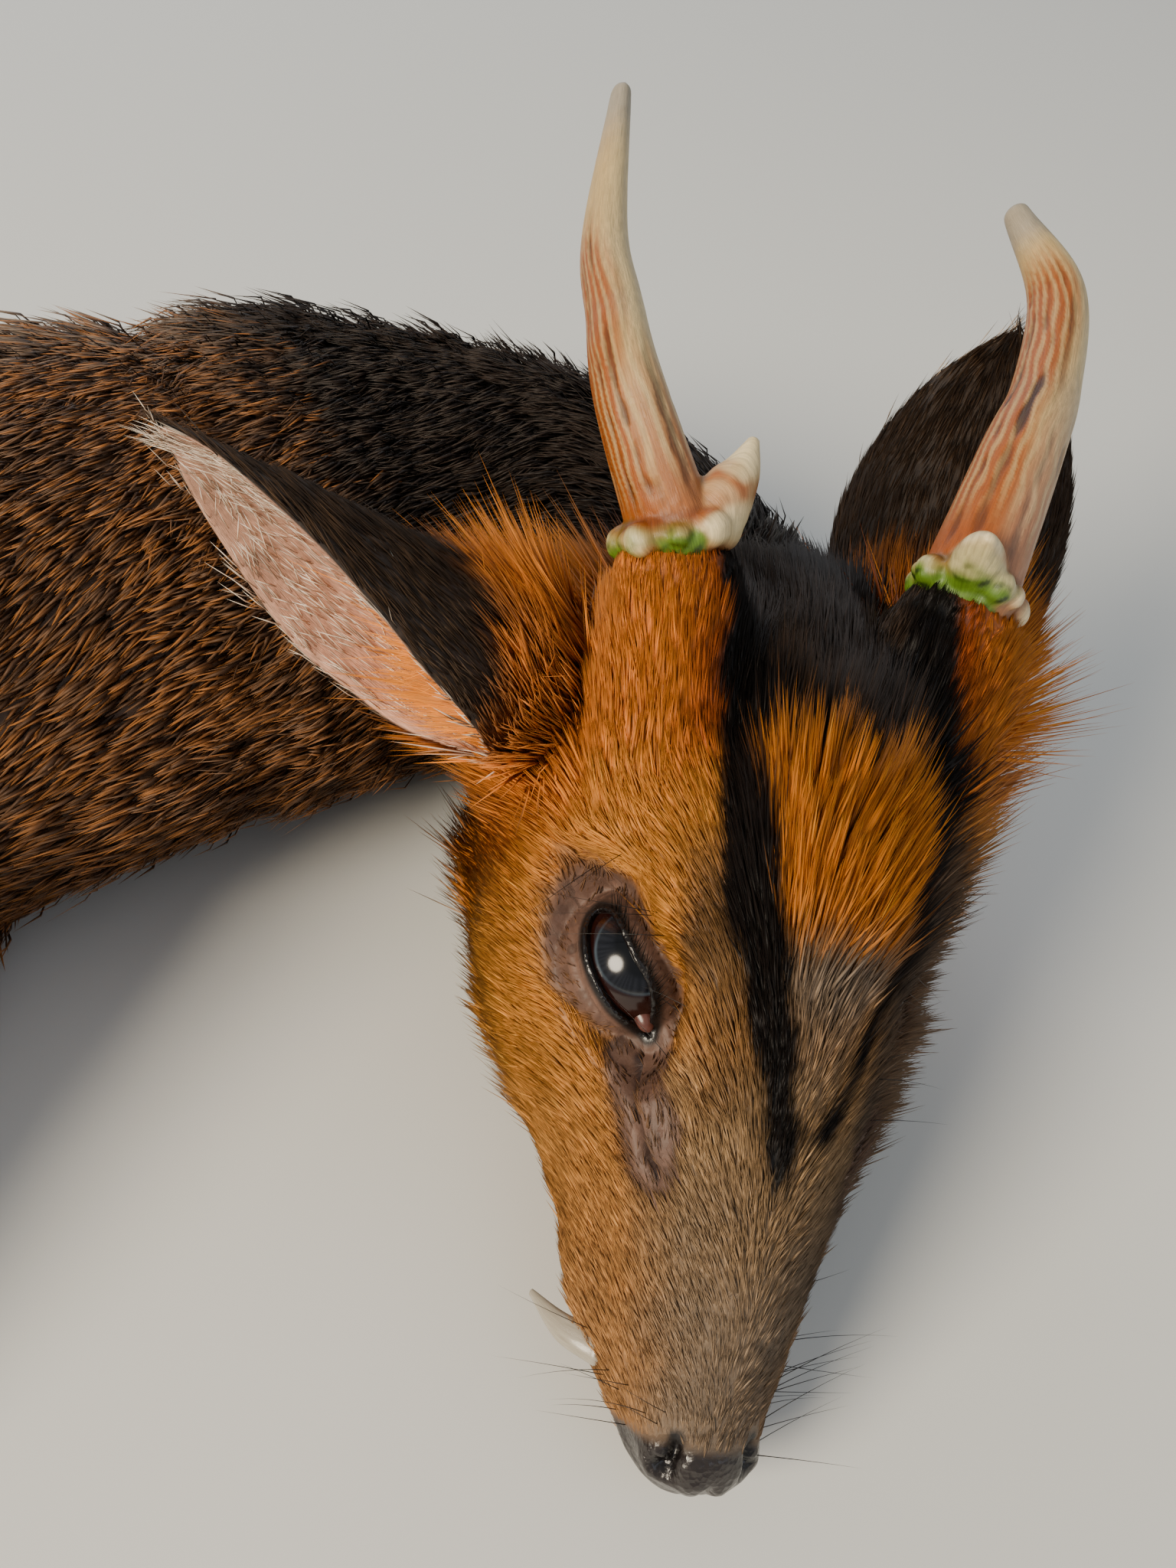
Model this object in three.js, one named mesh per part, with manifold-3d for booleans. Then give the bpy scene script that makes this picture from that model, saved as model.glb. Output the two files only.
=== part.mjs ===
// A Reeves' muntjac buck, life size, lying on its left side with its head upright on its chin.
// Millimetres, +Z up. The floor is z = 0, and the origin is the middle of the footprint on it.
import * as THREE from "three";
import { mergeVertices } from "three/addons/utils/BufferGeometryUtils.js";
import Module from "manifold-3d";

const wasm = await Module();
wasm.setup();

// Driving dimensions.
const gap = 0.3; // air between neighbours
const headPlace = { at: [30, 127, 65], heading: -91, noseDown: 12.7, roll: 17.6 }; // at the eyes
const trunkPlace = { at: [-125, 247], heading: 26 }; // shoulder on the floor, degrees from +X
const eye = { x: 2.5, y: 20, z: -5.5, radius: 13.3 };
const antler = { burrRadius: 11.8, burrHeight: 7, pearls: 12, pearlRadius: 2.7 };
const earSize = { length: 87, thick: 2.4, bulb: 13.4, wide: 1.25 };
const hoofSize = { length: 31, halfWidth: 5.3, height: 15, split: 1 };
const dewclawSize = { behind: 9, out: 6, forward: 7, root: 3.4, tip: 1.7 };
const lidSize = { x: 17.3, y: 14.8, z: 15.3 };
const fringe = { pairs: 5, from: 0.22, to: 0.82, length: 44, spread: 0.2, lift: 3, end: 0.6 };
const lockSize = { wide: 8, thick: 1.7, sunk: 6 };
const blockSize = 60; // of the blocks that trim an antler

const rad = THREE.MathUtils.degToRad;
const vec = (a) => new THREE.Vector3(...a);

// The head's frame: X to the nose, Y to the animal's left, Z to the crown.
function headMatrix() {
  const pitch = rad(headPlace.noseDown);
  const roll = rad(headPlace.roll);
  const heading = rad(headPlace.heading);
  const ahead = Math.cos(pitch);
  const forward = vec([Math.cos(heading) * ahead, Math.sin(heading) * ahead, -Math.sin(pitch)]);
  const level = vec([-Math.sin(heading), Math.cos(heading), 0]);
  const crown = forward.clone().cross(level);
  const left = level.clone().multiplyScalar(Math.cos(roll)).addScaledVector(crown, -Math.sin(roll));
  const up = forward.clone().cross(left);
  return new THREE.Matrix4().makeBasis(forward, left, up).setPosition(vec(headPlace.at));
}

// The body's frame: X forward along the trunk, Y to the spine, Z to the right flank, which is up.
function bodyMatrix() {
  const turn = rad(trunkPlace.heading);
  const place = vec([...trunkPlace.at, 0]);
  return new THREE.Matrix4().makeRotationZ(turn).setPosition(place);
}

const headFrame = headMatrix();
const bodyFrame = bodyMatrix();

// A value or a list of values read from rows keyed by their first column, on a smooth curve.
function smooth(rows, key) {
  const last = rows.length - 1;
  let i = 0;
  while (i < last - 1 && key > rows[i + 1][0]) i += 1;
  const [a, b] = [rows[i], rows[i + 1]];
  const before = rows[Math.max(i - 1, 0)];
  const after = rows[Math.min(i + 2, last)];
  const span = b[0] - a[0];
  const t = THREE.MathUtils.clamp((key - a[0]) / span, 0, 1);
  return a.slice(1).map((value, j) => {
    const k = j + 1;
    const slopeA = ((b[k] - before[k]) / (b[0] - before[0])) * span;
    const slopeB = ((after[k] - a[k]) / (after[0] - a[0])) * span;
    const rise = b[k] - value;
    const cubic = slopeA + slopeB - 2 * rise;
    const square = 3 * rise - 2 * slopeA - slopeB;
    return value + t * (slopeA + t * (square + t * cubic));
  });
}

// A closed skin over rings of points, with a fan over each end.
function skin(rings, matrix) {
  const sides = rings[0].length;
  const points = rings.flat();
  const middle = (ring) => ring.reduce((sum, p) => sum.add(p), vec([0, 0, 0])).divideScalar(sides);
  points.push(middle(rings[0]), middle(rings[rings.length - 1]));
  const index = [];
  for (let r = 0; r < rings.length - 1; r += 1) {
    for (let s = 0; s < sides; s += 1) {
      const [a, b] = [r * sides + s, r * sides + ((s + 1) % sides)];
      index.push(a, b, b + sides, a, b + sides, a + sides);
    }
  }
  const end = (rings.length - 1) * sides;
  for (let s = 0; s < sides; s += 1) {
    const next = (s + 1) % sides;
    index.push(points.length - 2, next, s, points.length - 1, end + s, end + next);
  }
  const geometry = new THREE.BufferGeometry().setFromPoints(points).setIndex(index);
  return matrix ? geometry.applyMatrix4(matrix) : geometry;
}

// A geometry as a solid, turned the right way out.
function solidOf(geometry) {
  geometry.deleteAttribute("normal");
  geometry.deleteAttribute("uv");
  const merged = mergeVertices(geometry, 1e-4);
  const triVerts = new Uint32Array(merged.index.array);
  const vertProperties = new Float32Array(merged.attributes.position.array);
  const made = new wasm.Manifold(new wasm.Mesh({ numProp: 3, vertProperties, triVerts }));
  if (made.volume() > 0) return made;
  for (let i = 0; i < triVerts.length; i += 3) {
    [triVerts[i + 1], triVerts[i + 2]] = [triVerts[i + 2], triVerts[i + 1]];
  }
  return new wasm.Manifold(new wasm.Mesh({ numProp: 3, vertProperties, triVerts }));
}

const join = (solids) => solids.reduce((sum, one) => sum.add(one));
const without = (solid, cutters) => cutters.reduce((rest, one) => rest.subtract(one), solid);

// The largest closed body of a solid.
function largest(solid) {
  return solid.decompose().reduce((a, b) => (a.volume() >= b.volume() ? a : b));
}

const rounded = (v, power) => Math.sign(v) * Math.abs(v) ** (2 / power);

// One ring: a rounded section about a centre, wider or taller as half = [side, up, down] says.
function section(centre, sideways, upward, half, sides, power = 2.2) {
  return Array.from({ length: sides }, (_, i) => {
    const angle = (i / sides) * Math.PI * 2;
    const high = Math.sin(angle) >= 0 ? half[1] : half[2];
    return centre
      .clone()
      .addScaledVector(sideways, rounded(Math.cos(angle), power) * half[0])
      .addScaledVector(upward, rounded(Math.sin(angle), power) * high);
  });
}

// A tube through stations { at, half, top }, its ends rounded off, its sections swollen by grow.
function tube(stations, { steps, sides, matrix, grow = 0, power = 2.2, blunt = 0.35 }) {
  const curve = new THREE.CatmullRomCurve3(stations.map((s) => vec(s.at)), false, "centripetal");
  const rows = stations.map((s, i) => [i / (stations.length - 1), ...s.half, ...s.top]);
  const rings = [];
  for (let i = 0; i <= steps; i += 1) {
    const t = i / steps;
    const centre = curve.getPoint(t);
    const along = curve.getTangent(t);
    const [side, up, down, ...top] = smooth(rows, t);
    const upward = vec(top).addScaledVector(along, -vec(top).dot(along)).normalize();
    const sideways = along.clone().cross(upward);
    const half = [side, up, down].map((h) => h + grow);
    if (i === 0) rings.push(capRing(centre, along, sideways, upward, half, -blunt, grow));
    rings.push(section(centre, sideways, upward, half, sides, power));
    if (i === steps) rings.push(capRing(centre, along, sideways, upward, half, blunt, grow));
  }
  return solidOf(skin(rings, matrix));

  // The smaller ring that rounds an end, pushed out by a share of the section's own size.
  function capRing(centre, along, sideways, upward, half, share, more) {
    const push = share * Math.min(...half) + Math.sign(share) * more;
    const pushed = centre.clone().addScaledVector(along, push);
    const small = half.map((h) => h * (1 - Math.abs(share)));
    return section(pushed, sideways, upward, small, sides, power);
  }
}

// An ellipsoid of given half sizes, turned by Euler angles in degrees, in a given frame.
function ellipsoid(at, half, matrix, turn = [0, 0, 0], detail = [14, 8]) {
  const geometry = new THREE.SphereGeometry(1, ...detail);
  geometry.scale(...half);
  geometry.applyMatrix4(new THREE.Matrix4().makeRotationFromEuler(new THREE.Euler(...turn.map(rad))));
  geometry.translate(...at);
  return solidOf(geometry.applyMatrix4(matrix));
}

// Head sections from occiput to nose: x, half width, top, bottom, height of the widest line.
const headRows = [
  [-88, 9, 4, -26, -13],
  [-82, 22, 17, -44, -13],
  [-72, 34, 31, -60, -13],
  [-58, 43, 39, -69, -18],
  [-44, 47, 42, -73, -21],
  [-30, 47.5, 43, -72, -22],
  [-12, 46, 41.5, -69, -22],
  [5, 42.5, 37.5, -65, -23],
  [20, 35.5, 30.5, -62, -24],
  [34, 29.5, 21.5, -60, -29],
  [48, 24.5, 12, -57.5, -34],
  [62, 20.5, 0.5, -54.5, -35],
  [74, 17, -10, -51, -35],
  [82, 14, -17.5, -48, -35],
  [88, 10, -24, -44, -35],
  [91.5, 5, -29, -40, -35],
];
// Soft rises and hollows of the right side, mirrored to the left: where, how wide, how far.
const headRelief = [
  { at: [4, -34, 8], wide: 15, push: [0, 6, -1] }, // the orbit lies in a hollow
  { at: [30, -25, -4], wide: 10, push: [0, 3, 0] }, // before the eye, round the scent slit
  { at: [-14, -22, 38], wide: 13, push: [0, 0, 3] }, // brow ridge below the stalk
  { at: [-4, -45, -20], wide: 15, push: [0, -2.5, 0] }, // cheekbone
  { at: [62, -20, -43], wide: 9, push: [0, -1.5, 0] }, // upper lip
];

// The distance that a point of the head's skin moves for the relief.
function reliefAt(point) {
  const moved = point.clone();
  for (const { at, wide, push } of headRelief) {
    const side = point.y < 0 ? 1 : -1;
    const offset = vec([at[0], at[1] * side, at[2]]).distanceTo(point) / wide;
    moved.addScaledVector(vec([push[0], push[1] * side, push[2]]), Math.exp(-offset * offset));
  }
  return moved;
}

function headSkin(grow) {
  const [steps, around] = [25, 26];
  const [first, last] = [headRows[0][0], headRows[headRows.length - 1][0]];
  const rings = [];
  for (let i = 0; i <= steps; i += 1) {
    const x = first + ((last - first) * i) / steps;
    const [half, top, bottom, widest] = smooth(headRows, x);
    const push = i === 0 ? -grow : i === steps ? grow : 0;
    const ring = Array.from({ length: around }, (_, j) => {
      const angle = (j / around) * Math.PI * 2;
      const upper = Math.sin(angle) >= 0;
      const power = upper ? 1.85 : 2.8;
      const high = (upper ? top - widest : widest - bottom) + grow;
      const y = rounded(Math.cos(angle), power) * (half + grow);
      return reliefAt(vec([x + push, y, widest + rounded(Math.sin(angle), power) * high]));
    });
    rings.push(ring);
  }
  return solidOf(skin(rings, headFrame));
}

const sides = { r: -1, l: 1 }; // the animal's right is -Y in the head's frame

// The furred stalk that carries an antler, from the brow to the burr.
const antlers = {
  r: {
    root: [-12, -19, 6],
    burr: [-58, -30.5, 45],
    beam: [[-76.5, -43.5, 57.5], [-92, -47, 60], [-110, -49.5, 61.5], [-139.5, -49.5, 70.5]],
    tine: [[-57.5, -26, 50], [-62, -24, 54.5], [-65, -22.5, 57], [-69, -21.5, 60]],
    flat: 0.68,
  },
  l: {
    root: [-12, 19, 6],
    burr: [-60, 28.5, 45.5],
    beam: [[-85, 36, 58.5], [-101, 42, 62.5], [-124, 45.5, 67.5], [-140.5, 36.5, 71.5]],
    tine: [[-59, 27, 50], [-58, 24, 56], [-57, 22, 60], [-55.5, 20.5, 64]],
    flat: 0.9,
  },
};

function burrAxis(plan) {
  const stalk = vec(plan.burr).sub(vec(plan.root)).normalize();
  const beam = vec(plan.beam[0]).sub(vec(plan.burr)).normalize();
  return stalk.add(beam).normalize();
}

// A block that starts at a given height over the burr and takes in all that lies beyond it.
function beyondBurr(plan, offset) {
  const axis = burrAxis(plan);
  const turn = new THREE.Quaternion().setFromUnitVectors(vec([0, 0, 1]), axis);
  const centre = vec(plan.burr).addScaledVector(axis, offset + blockSize / 2);
  const block = new THREE.BoxGeometry(...Array(3).fill(blockSize));
  block.applyQuaternion(turn).translate(...centre);
  return solidOf(block.applyMatrix4(headFrame));
}

function stalk(plan, grow = 0) {
  const axis = burrAxis(plan);
  const end = vec(plan.burr).addScaledVector(axis, 4).toArray();
  const middle = vec(plan.root).lerp(vec(plan.burr), 0.55).toArray();
  const top = [0.2, 0, 1];
  const stations = [
    { at: plan.root, half: [20, 19, 19], top },
    { at: middle, half: [17, 16.5, 16.5], top },
    { at: end, half: [14.5, 14.5, 14.5], top },
  ];
  const full = tube(stations, { steps: 4, sides: 14, matrix: headFrame, grow, blunt: 0.2 });
  return full.subtract(beyondBurr(plan, -antler.burrHeight / 2 - gap));
}

// The burr: a flat ring of pearls under the beam, closed in the middle.
function burr(plan) {
  const { burrRadius: r, burrHeight: h, pearls, pearlRadius } = antler;
  const profile = [[0, -h / 2], [r - 1.5, -h / 2], [r, 0], [r - 2, h / 2], [0, h / 2]];
  const ring = new THREE.LatheGeometry(profile.map((p) => new THREE.Vector2(...p)), 16);
  const turn = new THREE.Quaternion().setFromUnitVectors(vec([0, 1, 0]), burrAxis(plan));
  const frame = new THREE.Matrix4().compose(vec(plan.burr), turn, vec([1, 1, 1])).premultiply(headFrame);
  const beads = Array.from({ length: pearls }, (_, i) => {
    const angle = (i / pearls) * Math.PI * 2;
    const size = pearlRadius * (1 + 0.25 * Math.sin(i * 2.4));
    const out = r - 0.4 + 0.5 * Math.cos(i * 3.7);
    const at = [out * Math.cos(angle), 0.5 * Math.sin(i * 1.9), out * Math.sin(angle)];
    return ellipsoid(at, [size, size * 0.85, size], frame, [0, 0, 0], [5, 3]);
  });
  const block = join([solidOf(ring.applyMatrix4(frame)), ...beads]);
  const below = beyondBurr(plan, -h / 2 - blockSize);
  return largest(without(block, [below, beyondBurr(plan, h / 2)]));
}

// The brow tine, a short hook in front of the beam, which is cut back to make room for it.
function brow(plan, grow = 0) {
  const radii = [6, 4.9, 3.4, 1.2];
  const stations = plan.tine.map((at, i) => ({ at, half: Array(3).fill(radii[i]), top: [0.2, 0, 1] }));
  const full = tube(stations, { steps: 4, sides: 8, matrix: headFrame, grow, power: 2, blunt: 0.4 });
  return full.subtract(beyondBurr(plan, antler.burrHeight / 2 + gap - grow - blockSize));
}

// The beam: a horn flattened from side to side, curving back from the burr to its tip.
function beam(plan) {
  const radii = [10.4, 8.6, 7.2, 6, 2.8];
  const axis = burrAxis(plan);
  const start = vec(plan.burr).addScaledVector(axis, -2).toArray();
  const stations = [start, ...plan.beam].map((at, i) => ({
    at,
    half: [radii[i] * plan.flat, radii[i], radii[i]],
    top: [0.3, 0, 1],
  }));
  const full = tube(stations, { steps: 14, sides: 12, matrix: headFrame, power: 2, blunt: 0.5 });
  const below = beyondBurr(plan, antler.burrHeight / 2 + gap - blockSize);
  return largest(without(full, [below, brow(plan, gap)]));
}

// Ears: a cupped sheet along an axis, facing a given way, with a bulb that roots it in the head.
const ears = {
  r: { base: [-49.5, -41.5, 5.5], axis: [0.02, -0.895, 0.446], facing: [0.858, -0.213, -0.467], bend: 5.4 },
  l: { base: [-56, 38, 8], axis: [-0.88, 0.13, 0.45], facing: [-0.43, 0.3, -0.85], bend: 4 },
};
// Along the ear: share of its length, radius of the arc, half angle of the arc in degrees.
const earRows = [
  [0, 13, 165],
  [0.12, 14.5, 145],
  [0.3, 18.5, 108],
  [0.5, 21, 84],
  [0.7, 20.5, 62],
  [0.86, 18, 42],
  [0.96, 15, 20],
  [1, 14, 6],
];

function ear(plan, grow = 0) {
  const [steps, across] = [10, 8];
  const axis = vec(plan.axis).normalize();
  const facing = vec(plan.facing).addScaledVector(axis, -vec(plan.facing).dot(axis)).normalize();
  const wide = axis.clone().cross(facing);
  const rings = [];
  for (let i = 0; i <= steps; i += 1) {
    const t = i / steps;
    const [arcRadius, open] = smooth(earRows, t);
    const radius = arcRadius * earSize.wide;
    const centre = vec(plan.base).addScaledVector(axis, t * earSize.length + (i === 0 ? -grow : 0));
    centre.addScaledVector(facing, radius - earSize.bulb + plan.bend * t * t);
    const arc = (r, share) => {
      const angle = (rad(open) + grow / radius) * share;
      return centre
        .clone()
        .addScaledVector(facing, -r * Math.cos(angle))
        .addScaledVector(wide, r * Math.sin(angle));
    };
    const shares = Array.from({ length: across + 1 }, (_, j) => -1 + (2 * j) / across);
    const thick = earSize.thick * (1 - 0.45 * t);
    const outer = shares.map((share) => arc(radius + grow, share));
    const inner = shares.map((share) => arc(radius - thick - grow, share)).reverse();
    rings.push([...outer, ...inner]);
  }
  const cup = sheetSkin(rings, across + 1);
  const root = vec(plan.base).addScaledVector(axis, 3).toArray();
  const bulb = ellipsoid(root, Array(3).fill(earSize.bulb + grow), headFrame, [0, 0, 0], [10, 7]);
  return join([cup, bulb]);
}

// A closed sheet: each ring runs out along one face and back along the other.
function sheetSkin(rings, half) {
  const count = rings[0].length;
  const index = [];
  for (let r = 0; r < rings.length - 1; r += 1) {
    for (let s = 0; s < count; s += 1) {
      const [a, b] = [r * count + s, r * count + ((s + 1) % count)];
      const [c, d] = [b + count, a + count];
      // The quads of the inner face are split the other way, so that both faces bend alike.
      if (s < half) index.push(a, b, c, a, c, d);
      else index.push(a, b, d, b, c, d);
    }
  }
  const end = (rings.length - 1) * count;
  for (let s = 0; s < half - 1; s += 1) {
    const [a, b, c, d] = [s, s + 1, count - 2 - s, count - 1 - s];
    index.push(a, c, b, a, d, c, end + a, end + b, end + c, end + a, end + c, end + d);
  }
  const geometry = new THREE.BufferGeometry().setFromPoints(rings.flat()).setIndex(index);
  return solidOf(geometry.applyMatrix4(headFrame));
}

function eyeball(s, grow = 0) {
  const half = Array(3).fill(eye.radius + grow);
  return ellipsoid([eye.x, s * eye.y, eye.z], half, headFrame, [0, 0, 0], [14, 9]);
}

// The lids: a swelling over the eyeball, opened by an almond that points out of the head.
function lids(s, grow) {
  const half = [lidSize.x, lidSize.y, lidSize.z].map((size) => size + grow);
  return ellipsoid([eye.x, s * (eye.y - 0.5), eye.z], half, headFrame, [0, 0, 0], [12, 9]);
}

function lidOpening(s) {
  const at = [eye.x + 5, s * (eye.y + 10.5), eye.z + 14];
  return ellipsoid(at, [14, 7, 9], headFrame, [s * -38, 4, s * -25], [12, 7]);
}

// The scent slit that runs forward from the inner corner of the eye.
function scentSlit(s) {
  return ellipsoid([32, s * 21, -3], [13, 4.5, 1.3], headFrame, [0, 9, s * -17], [8, 6]);
}

// The nose pad and its two nostrils, which open to the side.
function nosePad(grow = 0) {
  return ellipsoid([84, 0, -30], [7.5 + grow, 12.5 + grow, 9.5 + grow], headFrame, [0, 18, 0], [16, 9]);
}

function nostril(s) {
  return ellipsoid([88.5, s * 9.4, -26], [5, 2, 3.4], headFrame, [s * 24, 10, s * 38], [8, 6]);
}

// The parting of the lips, then of the cheek, as a thin curved sheet right through the head.
function mouthCut() {
  const lips = [[104, -38], [84, -40.5], [66, -42], [44, -41]];
  const cheek = [[26, -44], [4, -50], [-22, -60], [-40, -84]];
  const line = [...lips, ...cheek];
  const thick = line.map((_, i) => (i < lips.length ? 0.7 : 0.2));
  const outline = new THREE.Shape([
    ...line.map(([x, z], i) => new THREE.Vector2(x, z + thick[i])),
    ...line.map(([x, z], i) => new THREE.Vector2(x, z - thick[i])).reverse(),
  ]);
  const sheet = new THREE.ExtrudeGeometry(outline, { depth: 120, bevelEnabled: false });
  sheet.translate(0, 0, -60).rotateX(Math.PI / 2);
  return solidOf(sheet.applyMatrix4(headFrame));
}

function tusk(s, grow = 0) {
  const points = [[67, s * 16.5, -37], [63, s * 22.5, -42], [56.5, s * 26.5, -50]];
  const radii = [2.6, 2.1, 0.6];
  const stations = points.map((at, i) => ({
    at,
    half: [radii[i] * 0.7, radii[i] * 1.2, radii[i] * 1.2],
    top: [1, 0, 0],
  }));
  return tube(stations, { steps: 4, sides: 6, matrix: headFrame, grow, power: 2, blunt: 0.3 });
}

// The neck, from behind the jaw round to the chest; its crest turns over from up to back.
const crownUp = [0.3, -0.21, 0.93];
const spineSide = [-0.44, 0.9, 0.05];
const neckStations = [
  { at: [31, 176, 58], half: [36, 36, 46], top: crownUp },
  { at: [31, 208, 51], half: [40, 42, 50], top: crownUp },
  { at: [22, 237, 49], half: [43, 45, 50], top: [0.3, 0.25, 0.8] },
  { at: [-2, 257, 48], half: [47, 56, 54], top: [0.1, 0.6, 0.5] },
  { at: [-36, 267, 50], half: [50, 70, 66], top: [-0.2, 0.85, 0.25] },
  { at: [-68, 267, 53], half: [54, 82, 78], top: [-0.4, 0.9, 0.1] },
  { at: [-100, 260, 56], half: [56, 84, 84], top: spineSide },
];
const neck = (grow = 0) => tube(neckStations, { steps: 14, sides: 20, grow, blunt: 0.3 });

// The trunk: distance forward of the shoulder, spine line, and half depth and thickness there.
const trunkStations = [
  { at: [50, 4, 52], half: [48, 66, 60] },
  { at: [18, 0, 57], half: [58, 84, 82] },
  { at: [-38, 0, 60], half: [62, 88, 90] },
  { at: [-104, 0, 63], half: [66, 89, 92] },
  { at: [-180, 0, 66], half: [70, 90, 89] },
  { at: [-246, 0, 66], half: [70, 92, 80] },
  { at: [-304, 0, 62], half: [66, 91, 69] },
  { at: [-352, 0, 57], half: [60, 84, 60] },
  { at: [-388, 4, 50], half: [51, 63, 50] },
  { at: [-411, 10, 44], half: [33, 35, 33] },
].map((s) => ({ ...s, top: [0, 1, 0] }));
const trunk = () => tube(trunkStations, { steps: 15, sides: 22, matrix: bodyFrame, blunt: 0.4 });

// Legs in the body's frame: x, y, z, then half width in the leg's plane and across it.
const legs = {
  fore_right: {
    upper: [
      [-57, -34, 78.5, 34, 23],
      [-83.5, -75, 77, 27.5, 20],
      [-109.5, -116.5, 61.5, 17, 15.5],
      [-136, -154, 44, 13, 12.5],
    ],
    lower: [
      [-136, -154, 44, 12.5, 12],
      [-158.5, -175, 33.5, 9, 8.5],
      [-183, -195.5, 23, 8.5, 8],
      [-198, -210.5, 17.5, 11.5, 10.5],
      [-205.5, -225.5, 14.5, 9.5, 10],
    ],
    toe: [-218.5, -255.5],
  },
  fore_left: {
    upper: [
      [-64, -37.5, 23, 32, 23],
      [-86.5, -79, 22, 26.5, 20],
      [-107, -124, 16, 17, 16.5],
      [-126, -167.5, 12, 13, 13.5],
    ],
    lower: [
      [-126, -167.5, 12, 12.5, 12.5],
      [-144.5, -192, 9.5, 9, 9],
      [-163.5, -218, 8.5, 8.5, 8.5],
      [-175, -235, 9.5, 11.5, 10.5],
      [-180.5, -250, 10.5, 9.5, 10],
    ],
    toe: [-191.5, -281],
  },
  hind_right: {
    upper: [
      [-349.5, 5.5, 85.5, 54.5, 28],
      [-331, -37.5, 84.5, 47, 26],
      [-310, -79, 78.5, 32, 21],
    ],
    middle: [
      [-308.5, -79, 78.5, 30, 20],
      [-338.5, -114.5, 63.5, 21.5, 17.5],
      [-372, -145, 54, 13, 11.5],
      [-402.5, -169, 46, 14, 12.5],
    ],
    lower: [
      [-402.5, -169, 46, 13.5, 12],
      [-398.5, -208.5, 36.5, 9.5, 8.5],
      [-389, -255.5, 24, 9, 8],
      [-381.5, -293.5, 16.5, 12, 10.5],
      [-375, -312, 14.5, 10, 10],
    ],
    toe: [-363, -342],
  },
  hind_left: {
    upper: [
      [-338.5, 2, 26, 52.5, 28],
      [-306.5, -37.5, 26, 45, 27],
      [-280, -79, 23, 31, 24],
    ],
    middle: [
      [-278, -79, 21, 29, 23],
      [-302.5, -116.5, 18.5, 20.5, 18],
      [-331, -148.5, 12.5, 13, 13.5],
      [-357, -176.5, 11.5, 14, 13.5],
    ],
    lower: [
      [-357, -176.5, 11.5, 13.5, 12.5],
      [-348, -216, 9, 9.5, 9],
      [-331, -263, 9, 9, 8.5],
      [-317.5, -299, 9.5, 12, 10.5],
      [-308.5, -317, 10.5, 10, 10],
    ],
    toe: [-293.5, -345],
  },
};

function legPart(rows, grow = 0) {
  const stations = rows.map(([x, y, z, inPlane, thick]) => ({
    at: [x, y, z],
    half: [inPlane, thick, thick],
    top: [0, 0, 1],
  }));
  const steps = Math.round(1.6 * rows.length);
  return tube(stations, { steps, sides: 10, matrix: bodyFrame, grow, blunt: 0.45 });
}

// Two hooves and two dewclaws to a foot, one of each above the other, as the foot lies on its side.
function foot(plan, level, grow = 0) {
  const { length: reach, halfWidth: w, height: h, split } = hoofSize;
  const [fetlock, ankle] = plan.lower.slice(-2);
  const heel = vec([ankle[0], ankle[1], 0]);
  const along = vec([...plan.toe, 0]).sub(heel).normalize();
  const z = 2 * w + level * (w + split / 2);
  const drop = level * 1.5;
  const at = (distance, rise) => heel.clone().addScaledVector(along, distance).setZ(z + rise).toArray();
  const front = along.clone().cross(vec([0, 0, 1]));
  const hoofRows = [
    { at: at(-2, 0), half: [w - 0.8, h * 0.42, h * 0.5] },
    { at: at(reach * 0.35, drop * 0.3), half: [w, h * 0.44, h * 0.56] },
    { at: at(reach * 0.75, drop * 0.7), half: [w * 0.8, h * 0.22, h * 0.5] },
    { at: at(reach, drop), half: [w * 0.3, h * 0.06, h * 0.34] },
  ].map((s) => ({ ...s, top: front.toArray() }));
  const { behind, out, forward, root, tip } = dewclawSize;
  const clawRoot = vec([fetlock[0], fetlock[1], z]).addScaledVector(front, -behind);
  const clawTip = clawRoot.clone().addScaledVector(front, -out).addScaledVector(along, forward);
  const clawRows = [
    { at: clawRoot.toArray(), half: Array(3).fill(root), top: [0, 0, 1] },
    { at: clawTip.toArray(), half: Array(3).fill(tip), top: [0, 0, 1] },
  ];
  const style = { matrix: bodyFrame, grow };
  return {
    hoof: tube(hoofRows, { ...style, steps: 3, sides: 8, blunt: 0.2 }),
    dewclaw: tube(clawRows, { ...style, steps: 1, sides: 5, blunt: 0.4 }),
  };
}

// The tail, flat and full, laid back behind the rump.
const tailStations = [
  { at: [-396, 38, 46], half: [13, 12, 12] },
  { at: [-424, 38, 35], half: [14, 12, 12] },
  { at: [-456, 26, 21], half: [16, 11, 11] },
  { at: [-488, 8, 10.5], half: [15, 10, 10] },
  { at: [-503, -4, 7.2], half: [11, 8, 8] },
  { at: [-515, -13, 6.5], half: [4, 5, 5] },
].map((s) => ({ ...s, top: [0, 0, 1] }));

function tail(grow = 0) {
  return tube(tailStations, { steps: 7, sides: 8, matrix: bodyFrame, grow, blunt: 0.3 });
}

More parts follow.
